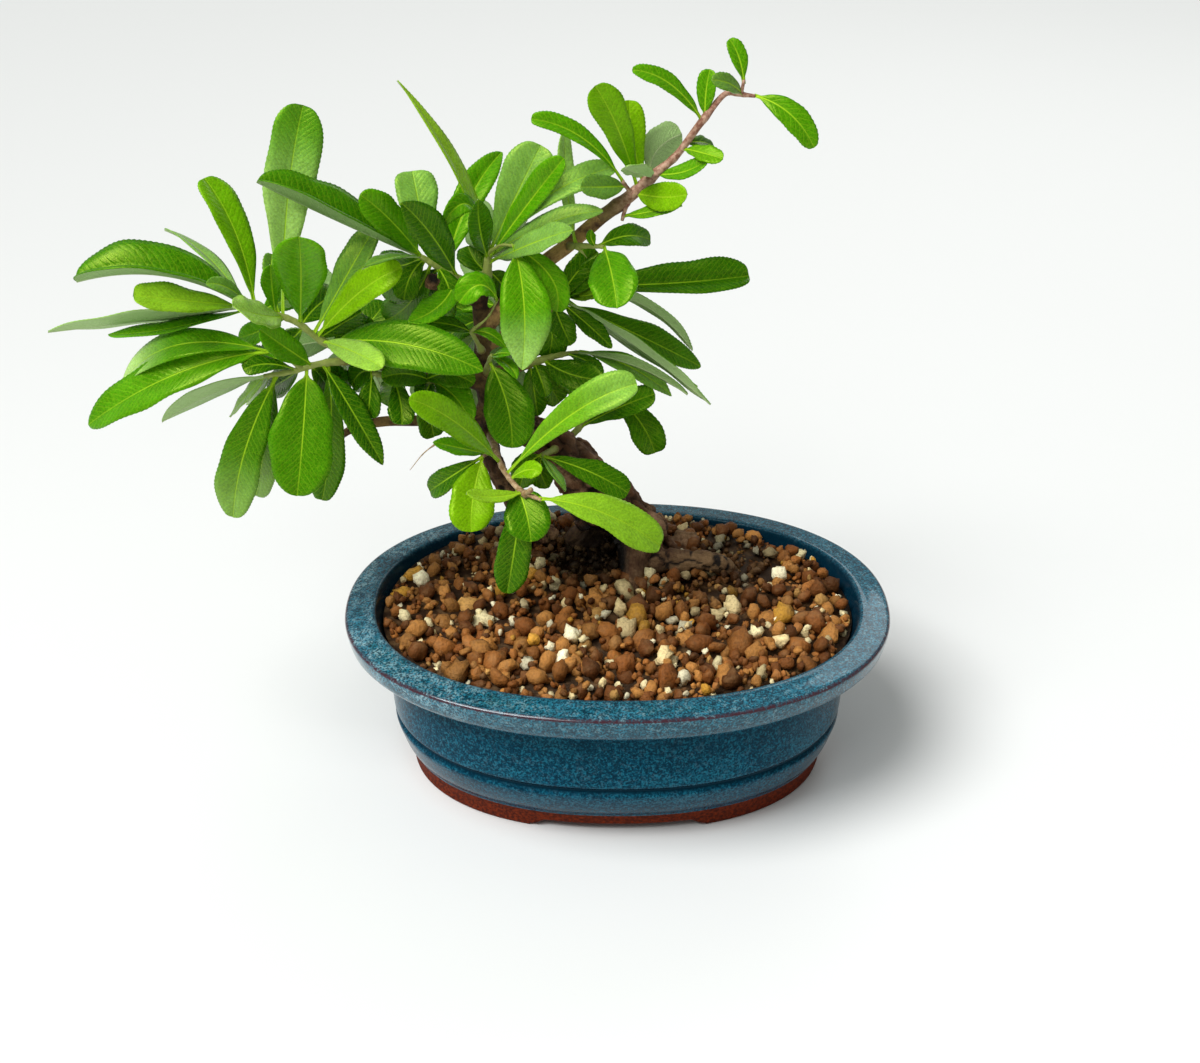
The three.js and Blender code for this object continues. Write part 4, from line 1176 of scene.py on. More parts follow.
def make_leaf_top():
    """The upper face. The leaf's tone layer holds how young, how pale and how olive it is, and its alpha
    runs from 0 at the stalk to 1 at the tip. The paleness is partly the leaf's own pale colour and partly
    painted sheen."""
    material, tree, shader = new_material("leaf_top")
    veins = veins_in(tree)
    young, pale, olive = layer(tree, "tone")[:3]
    along = whole_layer(tree, "tone", "Alpha")
    colour = coated(
        tree, LEAF_DARK,
        (between(tree, young, 0.0, 0.5), LEAF_GREEN),
        (between(tree, young, 0.5, 1.0), LEAF_YOUNG),
        # Pale colour and painted sheen, by the tone layer's green
        (pale, LEAF_PALE_SHEEN),
        (olive, LEAF_OLIVE),
    )
    patches = between(tree, veins["Mottle"], 0.3, 0.7, 0.88, 1.12)
    mottled = product(tree, patches, between(tree, veins["Grain"], 0.3, 0.7, 0.76, 1.24))
    shade = {"Red": mottled, "Green": mottled, "Blue": mottled}
    shade = add_node(tree, "ShaderNodeCombineColor", shade).outputs["Color"]
    colour = blend(tree, 1.0, colour, shade, "MULTIPLY")
    vein_colour = blend(tree, 0.60, colour, RIB_GREEN)
    colour = coated(
        tree, colour,
        (product(tree, veins["Vein"], 0.50), vein_colour),
        (product(tree, veins["Rib"], between(tree, along, 0.35, 1.0, 0.85, 0.25)), RIB_GREEN),
        (between(tree, along, 0.02, 0.16, 0.8, 0.0), RIB_GREEN),
    )
    height = calculate(tree, "SUBTRACT", product(tree, veins["Puff"], 0.35), veins["Rib"])
    height = total(tree, height, product(tree, veins["Grain"], 0.5))
    fill(tree, shader, {
        "Base Color": colour,
        "Roughness": between(tree, veins["Mottle"], 0.3, 0.7, 0.22, 0.38),
        "Specular IOR Level": 0.42,
        "Specular Tint": LEAF_SHEEN,
        "Subsurface Weight": 0.10,
        "Subsurface Radius": LEAF_DEPTH_TINT,
        "Subsurface Scale": 2 * MM,
        "Normal": bump(tree, height, LEAF_RELIEF, 0.6),
    })
    return material


def make_leaf_under():
    """The lower face, which is dull, with raised pale veins."""
    material, tree, shader = new_material("leaf_under")
    veins = veins_in(tree)
    young = layer(tree, "tone")[0]
    colour = coated(
        tree, UNDER_DEEP,
        (between(tree, young, 0.0, 0.45), UNDER_GREY),
        (between(tree, young, 0.5, 1.0, 0.0, 0.35), LEAF_YOUNG),
        (product(tree, veins["Vein"], 0.35), UNDER_RIB),
        (veins["Rib"], UNDER_RIB),
    )
    fill(tree, shader, {
        "Base Color": colour,
        "Roughness": 0.6,
        "Specular IOR Level": 0.30,
        "Normal": bump(tree, total(tree, veins["Vein"], veins["Rib"]), UNDER_RELIEF, 0.6),
    })
    return material


leaf_top = make_leaf_top()
leaf_under = make_leaf_under()
print("leaf finishes:", leaf_top.name, leaf_under.name)

# %% Young bark
# Each pair is the darker and the paler colour of the streaks on a green, a pink or a woody twig
TWIG_GREENS = (0.15, 0.21, 0.03, 1), (0.40, 0.50, 0.10, 1)
TWIG_PINKS = (0.22, 0.085, 0.050, 1), (0.52, 0.32, 0.22, 1)
TWIG_BROWNS = (0.05, 0.028, 0.012, 1), (0.30, 0.21, 0.06, 1)
STREAKS_PER_METRE = 700.0
TWIG_RELIEF = 0.4 * MM


def make_young_bark():
    """The skin of a young twig. Its tone layer holds how pink it is, and how woody."""
    material, tree, shader = new_material("young_bark")
    pink, woody = layer(tree, "tone")[:2]
    streak = speckle(tree, place_on(tree), STREAKS_PER_METRE, 4.0, 0.7)
    rosy = blend(tree, between(tree, streak, 0.35, 0.65), *TWIG_PINKS)
    brown = blend(tree, streak, *TWIG_BROWNS)
    fill(tree, shader, {
        "Base Color": coated(tree, blend(tree, streak, *TWIG_GREENS), (pink, rosy), (woody, brown)),
        "Roughness": 0.55,
        "Specular IOR Level": 0.30,
        "Normal": bump(tree, streak, TWIG_RELIEF, 0.5),
    })
    return material


young_bark = make_young_bark()
print("made", young_bark.name)

# %% [markdown]
# ## One leaf
# The blade starts as a flat grid. Each vertex knows how far across and how far along the leaf it is, and
# moves onto a curved rib: that gives the outline, the fold, the wavy margin and the teeth in one step. A
# copy of the grid, lowered by the leaf's thickness and turned over, becomes the underside, and a strip of
# faces along the margin closes the two.

# %% Outline of a leaf
STALK_SHARE = 0.08
STALK_HALF_WIDTH = 0.5 * MM
# Each outline is two powers: how much a leaf narrows towards its stalk, and towards its tip
LEAF_SHAPES = {
    "o": (0.90, 0.36), "e": (0.70, 0.46), "b": (0.78, 0.56), "l": (0.85, 0.72), "r": (1.05, 0.38),
    "n": (0.6, 0.95),
}
UNEVEN = 0.14
UNEVEN_SPOTS = 4.5
TOOTH = 0.16 * MM
TEETH_FROM = 0.3
TEETH_FULL = 0.6
TEETH_TO = 0.97


def half_width(t, taper, blunt):
    """Half the width of a leaf of unit width. Its foot narrows with taper, and its tip with blunt."""
    s = min(max((t - STALK_SHARE) / (1 - STALK_SHARE), 0), 1)
    widest = taper / (taper + blunt)
    return (s**taper * (1 - s) ** blunt) / (2 * widest**taper * (1 - widest) ** blunt)


def leaf_reach(t, u, row, width, powers, seed):
    """How far the blade reaches from its rib on the side of u, with its teeth."""
    reach = max(width * half_width(t, *powers), STALK_HALF_WIDTH * (1 - t) ** 0.5)
    reach *= 1 + UNEVEN * noise.noise(Vector((UNEVEN_SPOTS * t, math.copysign(7, u), seed * 9)))
    if abs(u) > 0.99 and TEETH_FROM < t < TEETH_TO and row % 2:
        reach -= TOOTH * smoothstep(TEETH_FROM, TEETH_FULL, t)
    return reach


print("outlines:", {name: round(half_width(0.5, *powers), 2) for name, powers in LEAF_SHAPES.items()})

# %% Lie of a leaf
def rib_of(base, middle, tip):
    """A function that gives the point of the rib at t, and its direction there."""
    bend = middle * 2 - base * 0.5 - tip * 0.5

    def at(t):
        place = base * (1 - t) ** 2 + bend * (2 * t * (1 - t)) + tip * t * t
        ahead = (bend - base) * (2 * (1 - t)) + (tip - bend) * (2 * t)
        return place, ahead.normalized()

    return at


def face_of(base, middle, tip, turn):
    """Where the upper face looks: at the standpoint where its turn is 0, and upwards at a right angle."""
    along = (tip - base).normalized()
    facing = EYE - middle
    facing = (facing - along * facing.dot(along)).normalized()
    upward = facing.cross(along)
    if upward.z < 0:
        upward.negate()
    return facing * math.cos(turn) + upward * math.sin(turn)


def twisted(across, normal, angle):
    """The two directions turned about the rib."""
    c, s = math.cos(angle), math.sin(angle)
    return across * c + normal * s, normal * c - across * s


print("leaf helpers ready")

# %% Blade of a leaf
ROW_LENGTH = 0.62 * MM
FEWEST_ROWS = 16
MOST_ROWS = 72
# The rows stand closer together towards the tip, which is rounder
ROW_CROWDING = 1.3
LEAF_COLUMNS = 8
MARGIN_THICKNESS = 0.25 * MM
RIB_THICKNESS = 0.55 * MM
CM_PER_METRE = 100
POWER_VARIES = (0.92, 1.08)
WAVES = (1.5, 3.5)
WAVE_HEIGHT = (0.01, 0.035)
OTHER_SIDE_PHASE = 1.3
TWIST = (-0.22, 0.22)
# Where along the leaf the pale colour and painted sheen go from the stalk's share to the tip's
PALE_SHEEN_FROM = 0.50
PALE_SHEEN_TO = 0.92


def close_leaf(bm, upper, drops):
    """Gives the blade an underside, each vertex lowered by its drop, and a margin."""
    copied = bmesh.ops.duplicate(bm, geom=upper)
    lower = [f for f in copied["geom"] if isinstance(f, bmesh.types.BMFace)]
    for vert, twin in [(v, t) for v, t in copied["vert_map"].items() if v in drops]:
        twin.co = vert.co - drops[vert]
    bmesh.ops.reverse_faces(bm, faces=lower)
    for polygon in lower:
        polygon.material_index = 1
    rims = []
    for faces in (set(upper), set(lower)):
        rims += [e for e in bm.edges if e.is_boundary and e.link_faces[0] in faces]
    bmesh.ops.bridge_loops(bm, edges=rims)


def make_leaf(base, middle, tip, width, turn, shape, fold, tone, draw):
    """A closed leaf mesh along its rib."""
    face = face_of(base, middle, tip, turn)
    rib = rib_of(base, middle, tip)
    length = (tip - base).length
    rows = max(FEWEST_ROWS, min(MOST_ROWS, round(length / ROW_LENGTH)))
    powers = [power * draw.uniform(*POWER_VARIES) for power in LEAF_SHAPES[shape]]
    waves, phase, wave_height = draw.uniform(*WAVES), draw.uniform(0, math.tau), draw.uniform(*WAVE_HEIGHT)
    twist = draw.uniform(*TWIST)
    young, stalk_pale_sheen, tip_pale_sheen, olive = tone

    bm = bmesh.new()
    blade = bm.loops.layers.uv.new("blade")
    toned = bm.verts.layers.float_color.new("tone")
    bmesh.ops.create_grid(bm, x_segments=LEAF_COLUMNS, y_segments=rows, size=1, calc_uvs=False)
    on_blade, drops = {}, {}
    for vert in bm.verts:
        u, v = vert.co.x, (vert.co.y + 1) / 2
        t = 1 - (1 - v) ** ROW_CROWDING
        centre, ahead = rib(t)
        across = face.cross(ahead).normalized()
        across, normal = twisted(across, ahead.cross(across), twist * (t - 0.5))
        reach = leaf_reach(t, u, round(v * rows), width, powers, phase)
        side = math.copysign(abs(u) ** 1.1, u) * reach
        wave = math.sin(waves * math.tau * t + phase + (OTHER_SIDE_PHASE if u > 0 else 0))
        rise = reach * fold * (abs(u) ** 0.9 * 1.15 - 0.35 * abs(u) ** 3)
        rise += wave_height * width * abs(u) ** 2 * wave
        vert.co = centre + across * side + normal * rise
        vert[toned] = (young, mix(stalk_pale_sheen, tip_pale_sheen, smoothstep(PALE_SHEEN_FROM, PALE_SHEEN_TO, t)), olive, t)
        on_blade[vert] = side * CM_PER_METRE, t * length * CM_PER_METRE
        drops[vert] = normal * mix(RIB_THICKNESS, MARGIN_THICKNESS, min(1, abs(u) * 1.6) ** 0.6)
    upper = list(bm.faces)
    for polygon in upper:
        for loop in polygon.loops:
            loop[blade].uv = on_blade[loop.vert]
    close_leaf(bm, upper, drops)
    if sum(f.normal.dot(face) * f.calc_area() for f in upper) < 0:
        bmesh.ops.reverse_faces(bm, faces=bm.faces)
    return mesh_from(bm, "leaf")


print("leaf rows:", FEWEST_ROWS, "to", MOST_ROWS, "and columns:", LEAF_COLUMNS)

# %% [markdown]
# ## The shoots
# Each shoot is a twig with its leaves, read from the photograph leaf by leaf. A leaf's row starts with
# two letters, for its tone and its outline. Then come three places along the rib, how deep the tip lies,
# its width, how far it bows, how far its face is turned, and for a few leaves their own fold.
# The tones are D dark, C deep, M middle green, B bright, Y yellow-green, G grey-green, O olive, P pale, S
# silvery, L pale and young, T young with a pale stalk, V pale at its stalk, W pale towards its tip, F
# whitish towards its tip, X dark with a pale tip, and Z bright with a pale tip. Their pale, silvery and
# whitish parts are partly the leaf's own pale colour and partly painted sheen. A small letter means a deep
# fold. The outlines are o oblong, e elliptic, b broad and pointed, l lance-shaped, r rounded at the tip,
# and n narrow as a needle.

# %% The shoots' table
SHOOTS = {
  "left_high": {
    "twigs": [
      [
        [350, 351.5, 1, 1.4], [322, 341, -2, 1.3], [296, 322, -4, 1.2], [268, 312, -5.5, 1.1],
        [246, 306, -6, 0.8],
      ],
    ],
    "leaves": [
      ["Pl", [244, 312], [146, 319], [48, 331], 10, 11, 0.02, 110],
      ["ce", [247, 297], [165, 275], [76, 281], -12, 13.6, 0.05, 56, 1.05],
      ["Yo", [244, 308], [187, 301], [133, 295], -20, 10, 0.06, 40],
      ["Ml", [249, 315], [172, 328], [108, 334], 4, 9.5, 0.04, 70],
      ["Bo", [255, 305], [237, 237], [204, 178], 4, 9.8, 0.04, 30],
      ["Sl", [248, 299], [207, 256], [165, 229], 26, 7.5, 0.04, 65],
      ["Gl", [251, 304], [228, 288], [206, 284], -16, 5, 0.06, 40],
      ["Vr", [286, 308], [287, 205], [303, 105], 6, 14.4, 0.03, 0],
      ["Mo", [302, 322], [301, 278], [299, 237], -20, 14.2, 0.05, 0],
      ["Gl", [316, 330], [351, 268], [378, 222], 8, 9, 0.04, 30],
      ["Be", [319, 334], [360, 292], [402, 268], -8, 9.5, 0.05, 25],
      ["Mo", [276, 313], [272, 288], [270, 265], -12, 6, 0.06, 15],
      ["Gr", [279, 313], [272, 280], [272, 254], 2, 5.5, 0.05, 20],
      ["Le", [284, 315], [260, 315], [233, 306], -22, 11, 0.08, 52],
      ["Te", [322, 341], [354, 352], [382, 368], -22, 8, 0.08, 25],
      ["Cl", [326, 342], [404, 344], [483, 371], -18, 14, 0.06, 16],
      ["De", [300, 332], [284, 345], [262, 352], 4, 8, 0.05, 20],
      ["Me", [285, 318], [262, 330], [238, 338], 2, 7, 0.05, 30],
      ["Do", [318, 338], [340, 325], [362, 312], 10, 9, 0.05, 20],
      ["Do", [330, 345], [352, 335], [378, 330], 12, 9, 0.05, 10],
      ["De", [300, 327], [318, 305], [340, 292], 12, 9, 0.05, 10],
      ["Me", [262, 310], [280, 302], [300, 296], 8, 7, 0.05, 20],
    ],
  },
  "left_low": {
    "twigs": [
      [[345, 361, -1.5, 1.3], [318, 364, -5, 1.2], [290, 372, -7, 1], [264, 376, -7, 0.8]],
      [[302, 368, -6, 0.9], [285, 357, -9, 0.8], [269, 351, -10, 0.7]],
    ],
    "leaves": [
      ["Mb", [270, 351], [176, 374], [88, 425], -10, 12.8, 0.06, 30],
      ["Fe", [273, 352], [178, 345], [123, 384], 0, 11, 0.1, 45],
      ["Pl", [266, 374], [214, 392], [162, 421], 10, 8.5, 0.04, 120],
      ["Pn", [265, 377], [248, 394], [229, 417], 4, 5, 0.05, 55],
      ["Pn", [270, 376], [258, 390], [246, 405], 12, 5, 0.05, 50],
      ["Do", [296, 370], [268, 364], [243, 370], -14, 5.5, 0.06, 30],
      ["Me", [312, 365], [286, 348], [260, 330], -18, 8, 0.06, 15],
      ["Ce", [307, 367], [303, 432], [297, 496], -20, 17.5, 0.04, 0],
      ["Xe", [279, 375], [246, 447], [233, 517], -12, 12, 0.05, 5],
      ["Xo", [275, 376], [266, 436], [256, 496], 2, 10, 0.04, 10],
      ["Do", [328, 363], [331, 430], [322, 500], 2, 9, 0.04, 5],
      ["Dl", [322, 364], [352, 411], [383, 465], -10, 8.2, 0.04, 20],
      ["De", [300, 369], [285, 380], [268, 390], 8, 8, 0.05, 20],
      ["De", [310, 366], [325, 380], [332, 400], 8, 8, 0.05, 10],
      ["Me", [290, 360], [262, 357], [238, 353], 6, 7, 0.05, 30],
      ["Do", [312, 366], [330, 376], [350, 388], 10, 8, 0.05, 20],
    ],
  },
  "left_inner": {
    "twigs": [
      [[432, 382, 5.5, 1.3], [404, 380, 1.5, 1.2], [372, 373, -1, 1]],
    ],
    "leaves": [
      ["Do", [372, 373], [370, 396], [368, 418], -6, 7.5, 0.04, 10],
      ["Do", [392, 378], [400, 400], [402, 425], -10, 7.5, 0.04, 0],
      ["Do", [424, 382], [428, 408], [434, 437], 8, 8, 0.04, 10],
      ["Dl", [430, 382], [426, 392], [418, 402], -3, 7, 0.06, 10],
      ["Ml", [432, 382], [456, 398], [470, 424], -6, 9, 0.04, 0],
      ["De", [376, 374], [362, 372], [352, 386], 8, 9, 0.05, 10],
      ["Do", [404, 380], [398, 386], [388, 406], 8, 9, 0.05, 10],
      ["De", [432, 382], [408, 374], [382, 378], -8, 7.5, 0.04, 10],
      ["De", [424, 382], [448, 374], [474, 384], 0, 7.5, 0.04, 15],
      ["Do", [430, 382], [448, 392], [458, 410], 2, 8.5, 0.04, 10],
    ],
  },
  "upper_left": {
    "twigs": [
      [[458, 279, 8, 1.4], [440, 268, 6, 1.3], [420, 256, 4, 1]],
    ],
    "leaves": [
      ["ce", [420, 257], [336, 219], [257, 181], -8, 12.2, 0.06, 62, 1.15],
      ["Me", [422, 257], [390, 220], [360, 195], -6, 9.5, 0.05, 15],
      ["Sr", [430, 262], [420, 210], [412, 171], 14, 11.8, 0.05, 10],
      ["Dl", [458, 279], [432, 236], [401, 203], -10, 10.5, 0.05, 20],
      ["Gn", [419, 256], [390, 258], [362, 268], -20, 5.5, 0.03, 70],
      ["Ml", [455, 278], [440, 305], [408, 322], -10, 8.5, 0.08, 35],
      ["Do", [425, 260], [411, 275], [404, 300], 0, 7, 0.04, 10],
      ["ml", [446, 271], [468, 202], [502, 152], 29, 9, 0.05, 10],
      ["Dl", [436, 266], [448, 286], [450, 306], 2, 7, 0.04, 10],
      ["De", [425, 260], [405, 282], [380, 286], 20, 10, 0.05, 10],
      ["De", [430, 263], [412, 300], [386, 320], 22, 11, 0.05, 10],
      ["Do", [440, 268], [425, 285], [420, 312], 20, 9, 0.05, 10],
      ["De", [422, 258], [398, 266], [376, 262], 18, 9, 0.05, 10],
      ["Dl", [450, 274], [444, 300], [432, 334], 18, 9, 0.05, 20],
    ],
  },
  "top": {
    "twigs": [
      [[486.5, 277, 14, 1.9], [488, 262, 13, 1.6], [489, 248, 13, 1]],
      [[489, 252, 13, 0.7], [502, 245, 9, 0.55], [514, 246, 6, 0.5]],
    ],
    "leaves": [
      ["Yn", [486, 254], [456, 168], [398, 80], 8, 8, 0.03, 65],
      ["Me", [487, 254], [469, 205], [441, 228], 0, 6, 0.08, 50],
      ["Dl", [486, 259], [480, 230], [478, 200], -6, 7, 0.05, 20],
      ["Sr", [488, 254], [514, 200], [541, 145], 16, 13.8, 0.05, 5],
      ["mo", [490, 259], [525, 208], [564, 158], 0, 7.5, 0.04, 25],
      ["Sl", [490, 263], [536, 242], [573, 230], -8, 7.5, 0.08, 35],
      ["Sl", [489, 257], [548, 224], [603, 211], 8, 7.5, 0.05, 45],
      ["So", [489, 250], [546, 197], [615, 167], 18, 8, 0.05, 30],
      ["Wl", [514, 247], [524, 306], [522, 370], -8, 13.8, 0.04, 0],
      ["Me", [511, 246], [550, 276], [557, 312], 2, 7.5, 0.06, 0],
      ["Dl", [488, 255], [478, 224], [470, 196], 42, 11, 0.08, 160],
      ["Mo", [489, 251], [510, 216], [528, 182], 44, 11, 0.08, 160],
      ["Do", [489, 258], [514, 246], [540, 236], 44, 10, 0.1, 150],
      ["Do", [487, 270], [500, 282], [512, 300], 22, 9, 0.05, 10],
      ["Do", [486, 272], [476, 262], [468, 246], 22, 9, 0.05, 10],
    ],
  },
  "middle": {
    "twigs": [
      [[478, 344, 9.5, 1.2], [471, 331, 6, 1]],
      [[471, 331, 6, 0.6], [488, 317, 1, 0.45], [497, 301, -2, 0.4]],
    ],
    "leaves": [
      ["Me", [497, 302], [480, 285], [459, 303], -6, 8, 0.1, 30],
      ["Ml", [472, 332], [490, 334], [506, 348], 4, 4, 0.05, 35],
      ["Dl", [472, 333], [452, 325], [425, 322], 4, 5.5, 0.05, 40],
    ],
  },
  "middle_low": {
    "twigs": [
      [[488, 366, 10, 1.3], [490, 358, 5, 1], [492, 355, 2, 0.8]],
    ],
    "leaves": [
      ["De", [489, 361], [507, 404], [512, 448], -6, 13.5, 0.04, 0],
      ["Ml", [491, 357], [507, 364], [517, 379], -4, 4, 0.06, 30],
      ["Ml", [491, 356], [501, 353], [511, 354], -6, 4, 0.06, 50],
    ],
  },
  "front": {
    "twigs": [
      [
        [492, 437, 12, 1.5], [497, 455, -4, 1.4], [505, 472, -13, 1.5], [520, 490, -20, 1.4],
        [541, 500, -27, 0.9],
      ],
      [[495, 450, -1, 1], [482, 457, -7, 0.8]],
      [[525, 494, -22, 1.3], [531, 490, -25, 1.5]],
      [[437, 443, -9.5, 0.35], [424, 453, -10, 0.3], [410, 470, -10, 0.15]],
    ],
    "leaves": [
      ["Be", [500, 463], [455, 422], [409, 399], -26, 9, 0.06, 20],
      ["Ml", [488, 454], [460, 448], [433, 442], -10, 5.5, 0.04, 35],
      ["Do", [482, 457], [452, 476], [430, 491], -2, 7.2, 0.05, 15],
      ["Be", [483, 457], [473, 496], [471, 532], -20, 13.2, 0.04, 0],
      ["Ye", [521, 493], [493, 497], [467, 493], -30, 5, 0.03, 40],
      ["De", [516, 487], [526, 512], [531, 542], -30, 12.7, 0.04, 0],
      ["De", [522, 492], [515, 545], [507, 593], -26, 9.8, 0.04, 0],
      ["Be", [511, 478], [527, 470], [541, 473], -22, 5.2, 0.04, 25],
      ["Yo", [540, 499], [601, 512], [660, 546], -26, 11.4, 0.06, 25],
      ["zo", [508, 473], [571, 415], [637, 384], -18, 10, 0.05, 20],
    ],
  },
  "trunk": {
    "twigs": [
      [[549, 452, 9.5, 1.2], [541, 456, 5, 1]],
    ],
    "leaves": [
      ["Do", [541, 456], [588, 471], [628, 493], 2, 8.4, 0.04, 15],
      ["Gl", [542, 456], [552, 470], [566, 491], -6, 6, 0.02, 65],
      ["Dl", [545, 453], [540, 468], [548, 488], 8, 9, 0.05, 10],
      ["Dl", [541, 456], [528, 466], [520, 488], 4, 9, 0.05, 10],
    ],
  },
  "trunk_high": {
    "twigs": [
      [[572, 435, 24, 1.3], [582, 425, 26, 1.1], [596, 408, 27, 0.8], [612, 396, 28, 0.7]],
    ],
    "leaves": [
      ["Do", [580, 427], [618, 408], [655, 394], 18, 8.5, 0.04, 25],
      ["Do", [611, 397], [638, 419], [655, 453], 22, 9.5, 0.08, 0],
    ],
  },
  "right_inner": {
    "twigs": [
      [[521, 326, 21, 1.5], [545, 313, 23, 1.3], [563, 300, 26, 1.1], [572, 284, 28, 0.8]],
    ],
    "leaves": [
      ["do", [571, 286], [662, 284], [749, 276], 30, 11.5, 0.02, 30, 0.8],
      ["Gl", [570, 290], [640, 302], [693, 350], 22, 6, 0.03, 122],
      ["Dl", [563, 302], [640, 336], [701, 367], 34, 9, 0.03, 20],
      ["Gl", [564, 300], [638, 346], [711, 404], 10, 6.5, 0.03, 118],
      ["Gn", [566, 298], [640, 352], [698, 386], 18, 4.5, 0.02, 118],
      ["Dl", [562, 304], [588, 325], [612, 348], 16, 6, 0.05, 25],
      ["De", [556, 308], [562, 326], [571, 345], 14, 7, 0.05, 10],
      ["Ol", [567, 297], [584, 296], [598, 292], 20, 3.5, 0.04, 30],
      ["Dl", [560, 303], [588, 275], [618, 260], 26, 8, 0.04, 20],
      ["Dl", [563, 300], [590, 288], [622, 285], 24, 7, 0.04, 20],
      ["Do", [556, 307], [575, 275], [598, 252], 28, 8, 0.04, 10],
      ["Do", [545, 313], [552, 332], [548, 358], 22, 9, 0.05, 10],
    ],
  },
  "right_low": {
    "twigs": [
      [[529, 364, 19, 1.4], [548, 358, 20, 1.3], [565, 354, 21, 1], [580, 352, 22, 0.7]],
    ],
    "leaves": [
      ["Gl", [578, 353], [634, 364], [688, 394], 12, 6, 0.04, 114],
      ["Gl", [580, 353], [628, 366], [672, 396], 22, 6.5, 0.05, 30],
      ["De", [544, 360], [570, 374], [604, 380], 8, 9.5, 0.05, 10],
      ["Dl", [566, 354], [588, 362], [603, 377], 14, 4.5, 0.05, 30],
      ["De", [534, 364], [541, 380], [546, 397], 10, 5.5, 0.04, 10],
      ["Do", [535, 362], [545, 378], [560, 402], 22, 9, 0.05, 10],
      ["Do", [548, 358], [562, 372], [588, 388], 24, 9, 0.05, 10],
      ["Dl", [530, 364], [534, 390], [538, 416], 20, 8, 0.05, 10],
    ],
  },
  "right_hanging": {
    "twigs": [
      [[576, 246, 14.5, 1.2], [590, 246, 12, 1], [604, 247, 9, 0.7]],
      [[576, 247, 13.5, 0.8], [581, 251, 13, 0.5], [587, 258, 13, 0.1]],
    ],
    "leaves": [
      ["Me", [604, 247], [612, 276], [617, 308], -10, 13.4, 0.05, 0],
      ["De", [598, 246], [626, 236], [650, 240], 20, 6.8, 0.08, 20],
      ["Ml", [596, 246], [591, 238], [592, 230], 12, 3, 0.03, 20],
      ["Po", [577, 246], [567, 190], [565, 132], 28, 6, 0.02, 45],
    ],
  },
  "right_tip": {
    "twigs": [
      [
        [606, 213.5, 19.1, 2], [630, 196, 20, 2], [656, 173, 20, 1.8], [675, 157, 20, 1.4],
        [703, 120, 20, 1.3], [727, 93, 20, 1.1], [737, 94, 20, 0.9], [755, 96, 20, 0.7],
      ],
      [[632, 194, 20, 0.9], [622, 181, 17, 0.7]],
      [[630, 198, 20, 0.9], [625, 210, 18, 0.8], [622, 221, 17, 0.6]],
      [[741, 95, 20, 0.7], [744, 80, 19, 0.6]],
    ],
    "leaves": [
      ["mo", [622, 182], [582, 138], [531, 119], 14, 5.8, 0.03, 30],
      ["Bo", [638, 188], [619, 132], [595, 86], 12, 9.3, 0.04, 10],
      ["Bo", [642, 184], [633, 140], [629, 100], 24, 8, 0.04, 10],
      ["Gr", [650, 178], [655, 152], [681, 134], 34, 11, 0.05, 150],
      ["Pe", [653, 176], [640, 173], [625, 167], 8, 7, 0.04, 125],
      ["Ge", [626, 186], [604, 187], [581, 187], 8, 7.2, 0.05, 15],
      ["Bl", [624, 216], [650, 212], [682, 205], 12, 5.5, 0.04, 50],
      ["Be", [636, 194], [662, 197], [687, 194], 8, 8.2, 0.06, 15],
      ["Me", [655, 174], [683, 172], [708, 159], 14, 5.5, 0.05, 35],
      ["Be", [680, 144], [703, 153], [723, 159], 12, 5.5, 0.06, 30],
      ["De", [684, 140], [702, 142], [715, 148], 26, 5, 0.05, 50],
      ["Me", [698, 119], [670, 84], [632, 70], 16, 5.2, 0.04, 25],
      ["Me", [701, 116], [706, 92], [710, 69], 22, 5.8, 0.04, 15],
      ["Ge", [743, 94], [730, 84], [712, 80], 12, 5.2, 0.05, 35],
      ["Me", [744, 83], [739, 58], [729, 39], 22, 4.9, 0.04, 20],
      ["Me", [755, 96], [790, 114], [814, 148], 14, 7.4, 0.06, 15],
    ],
  },
  "back_high": {
    "twigs": [
      [[487, 322, 19.5, 1.5], [493, 314, 28, 1.3], [498, 307, 36, 0.9]],
    ],
    "leaves": [
      ["Do", [498, 307], [480, 276], [466, 252], 46, 10, 0.08, 160],
      ["De", [497, 308], [520, 282], [540, 262], 50, 10.5, 0.08, 165],
      ["Do", [496, 309], [526, 308], [556, 316], 46, 9.5, 0.1, 150],
      ["Me", [498, 307], [470, 300], [444, 300], 48, 10, 0.1, 25],
      ["Do", [497, 307], [503, 330], [504, 346], 58, 9.5, 0.05, 170],
      ["De", [492, 316], [516, 332], [536, 356], 36, 9, 0.08, 140],
      ["Do", [491, 317], [464, 326], [440, 344], 34, 9.5, 0.08, 25],
      ["Do", [498, 307], [474, 312], [452, 304], 38, 9.5, 0.06, 25],
      ["De", [492, 316], [478, 332], [464, 352], 34, 9, 0.06, 25],
    ],
  },
  "back_left": {
    "twigs": [
      [[372, 357, 5.5, 1.4], [360, 347, 15, 1.2], [350, 339, 23, 0.9]],
    ],
    "leaves": [
      ["Do", [350, 339], [330, 302], [306, 270], 34, 11, 0.08, 160],
      ["De", [351, 340], [358, 300], [362, 262], 40, 10, 0.08, 165],
      ["Ml", [352, 341], [380, 326], [404, 318], 34, 10, 0.1, 25],
      ["Do", [350, 340], [312, 342], [276, 352], 30, 10, 0.1, 150],
      ["De", [350, 339], [340, 372], [326, 406], 40, 10, 0.08, 170],
      ["Ml", [357, 345], [374, 372], [388, 402], 26, 9, 0.08, 150],
      ["Do", [352, 341], [370, 322], [386, 302], 30, 9.5, 0.08, 25],
    ],
  },
  "back_low": {
    "twigs": [
      [[483, 392, 20.5, 1.4], [478, 386, 29, 1.2], [474, 382, 36, 0.9]],
    ],
    "leaves": [
      ["Do", [474, 382], [450, 360], [428, 344], 48, 10.5, 0.08, 25],
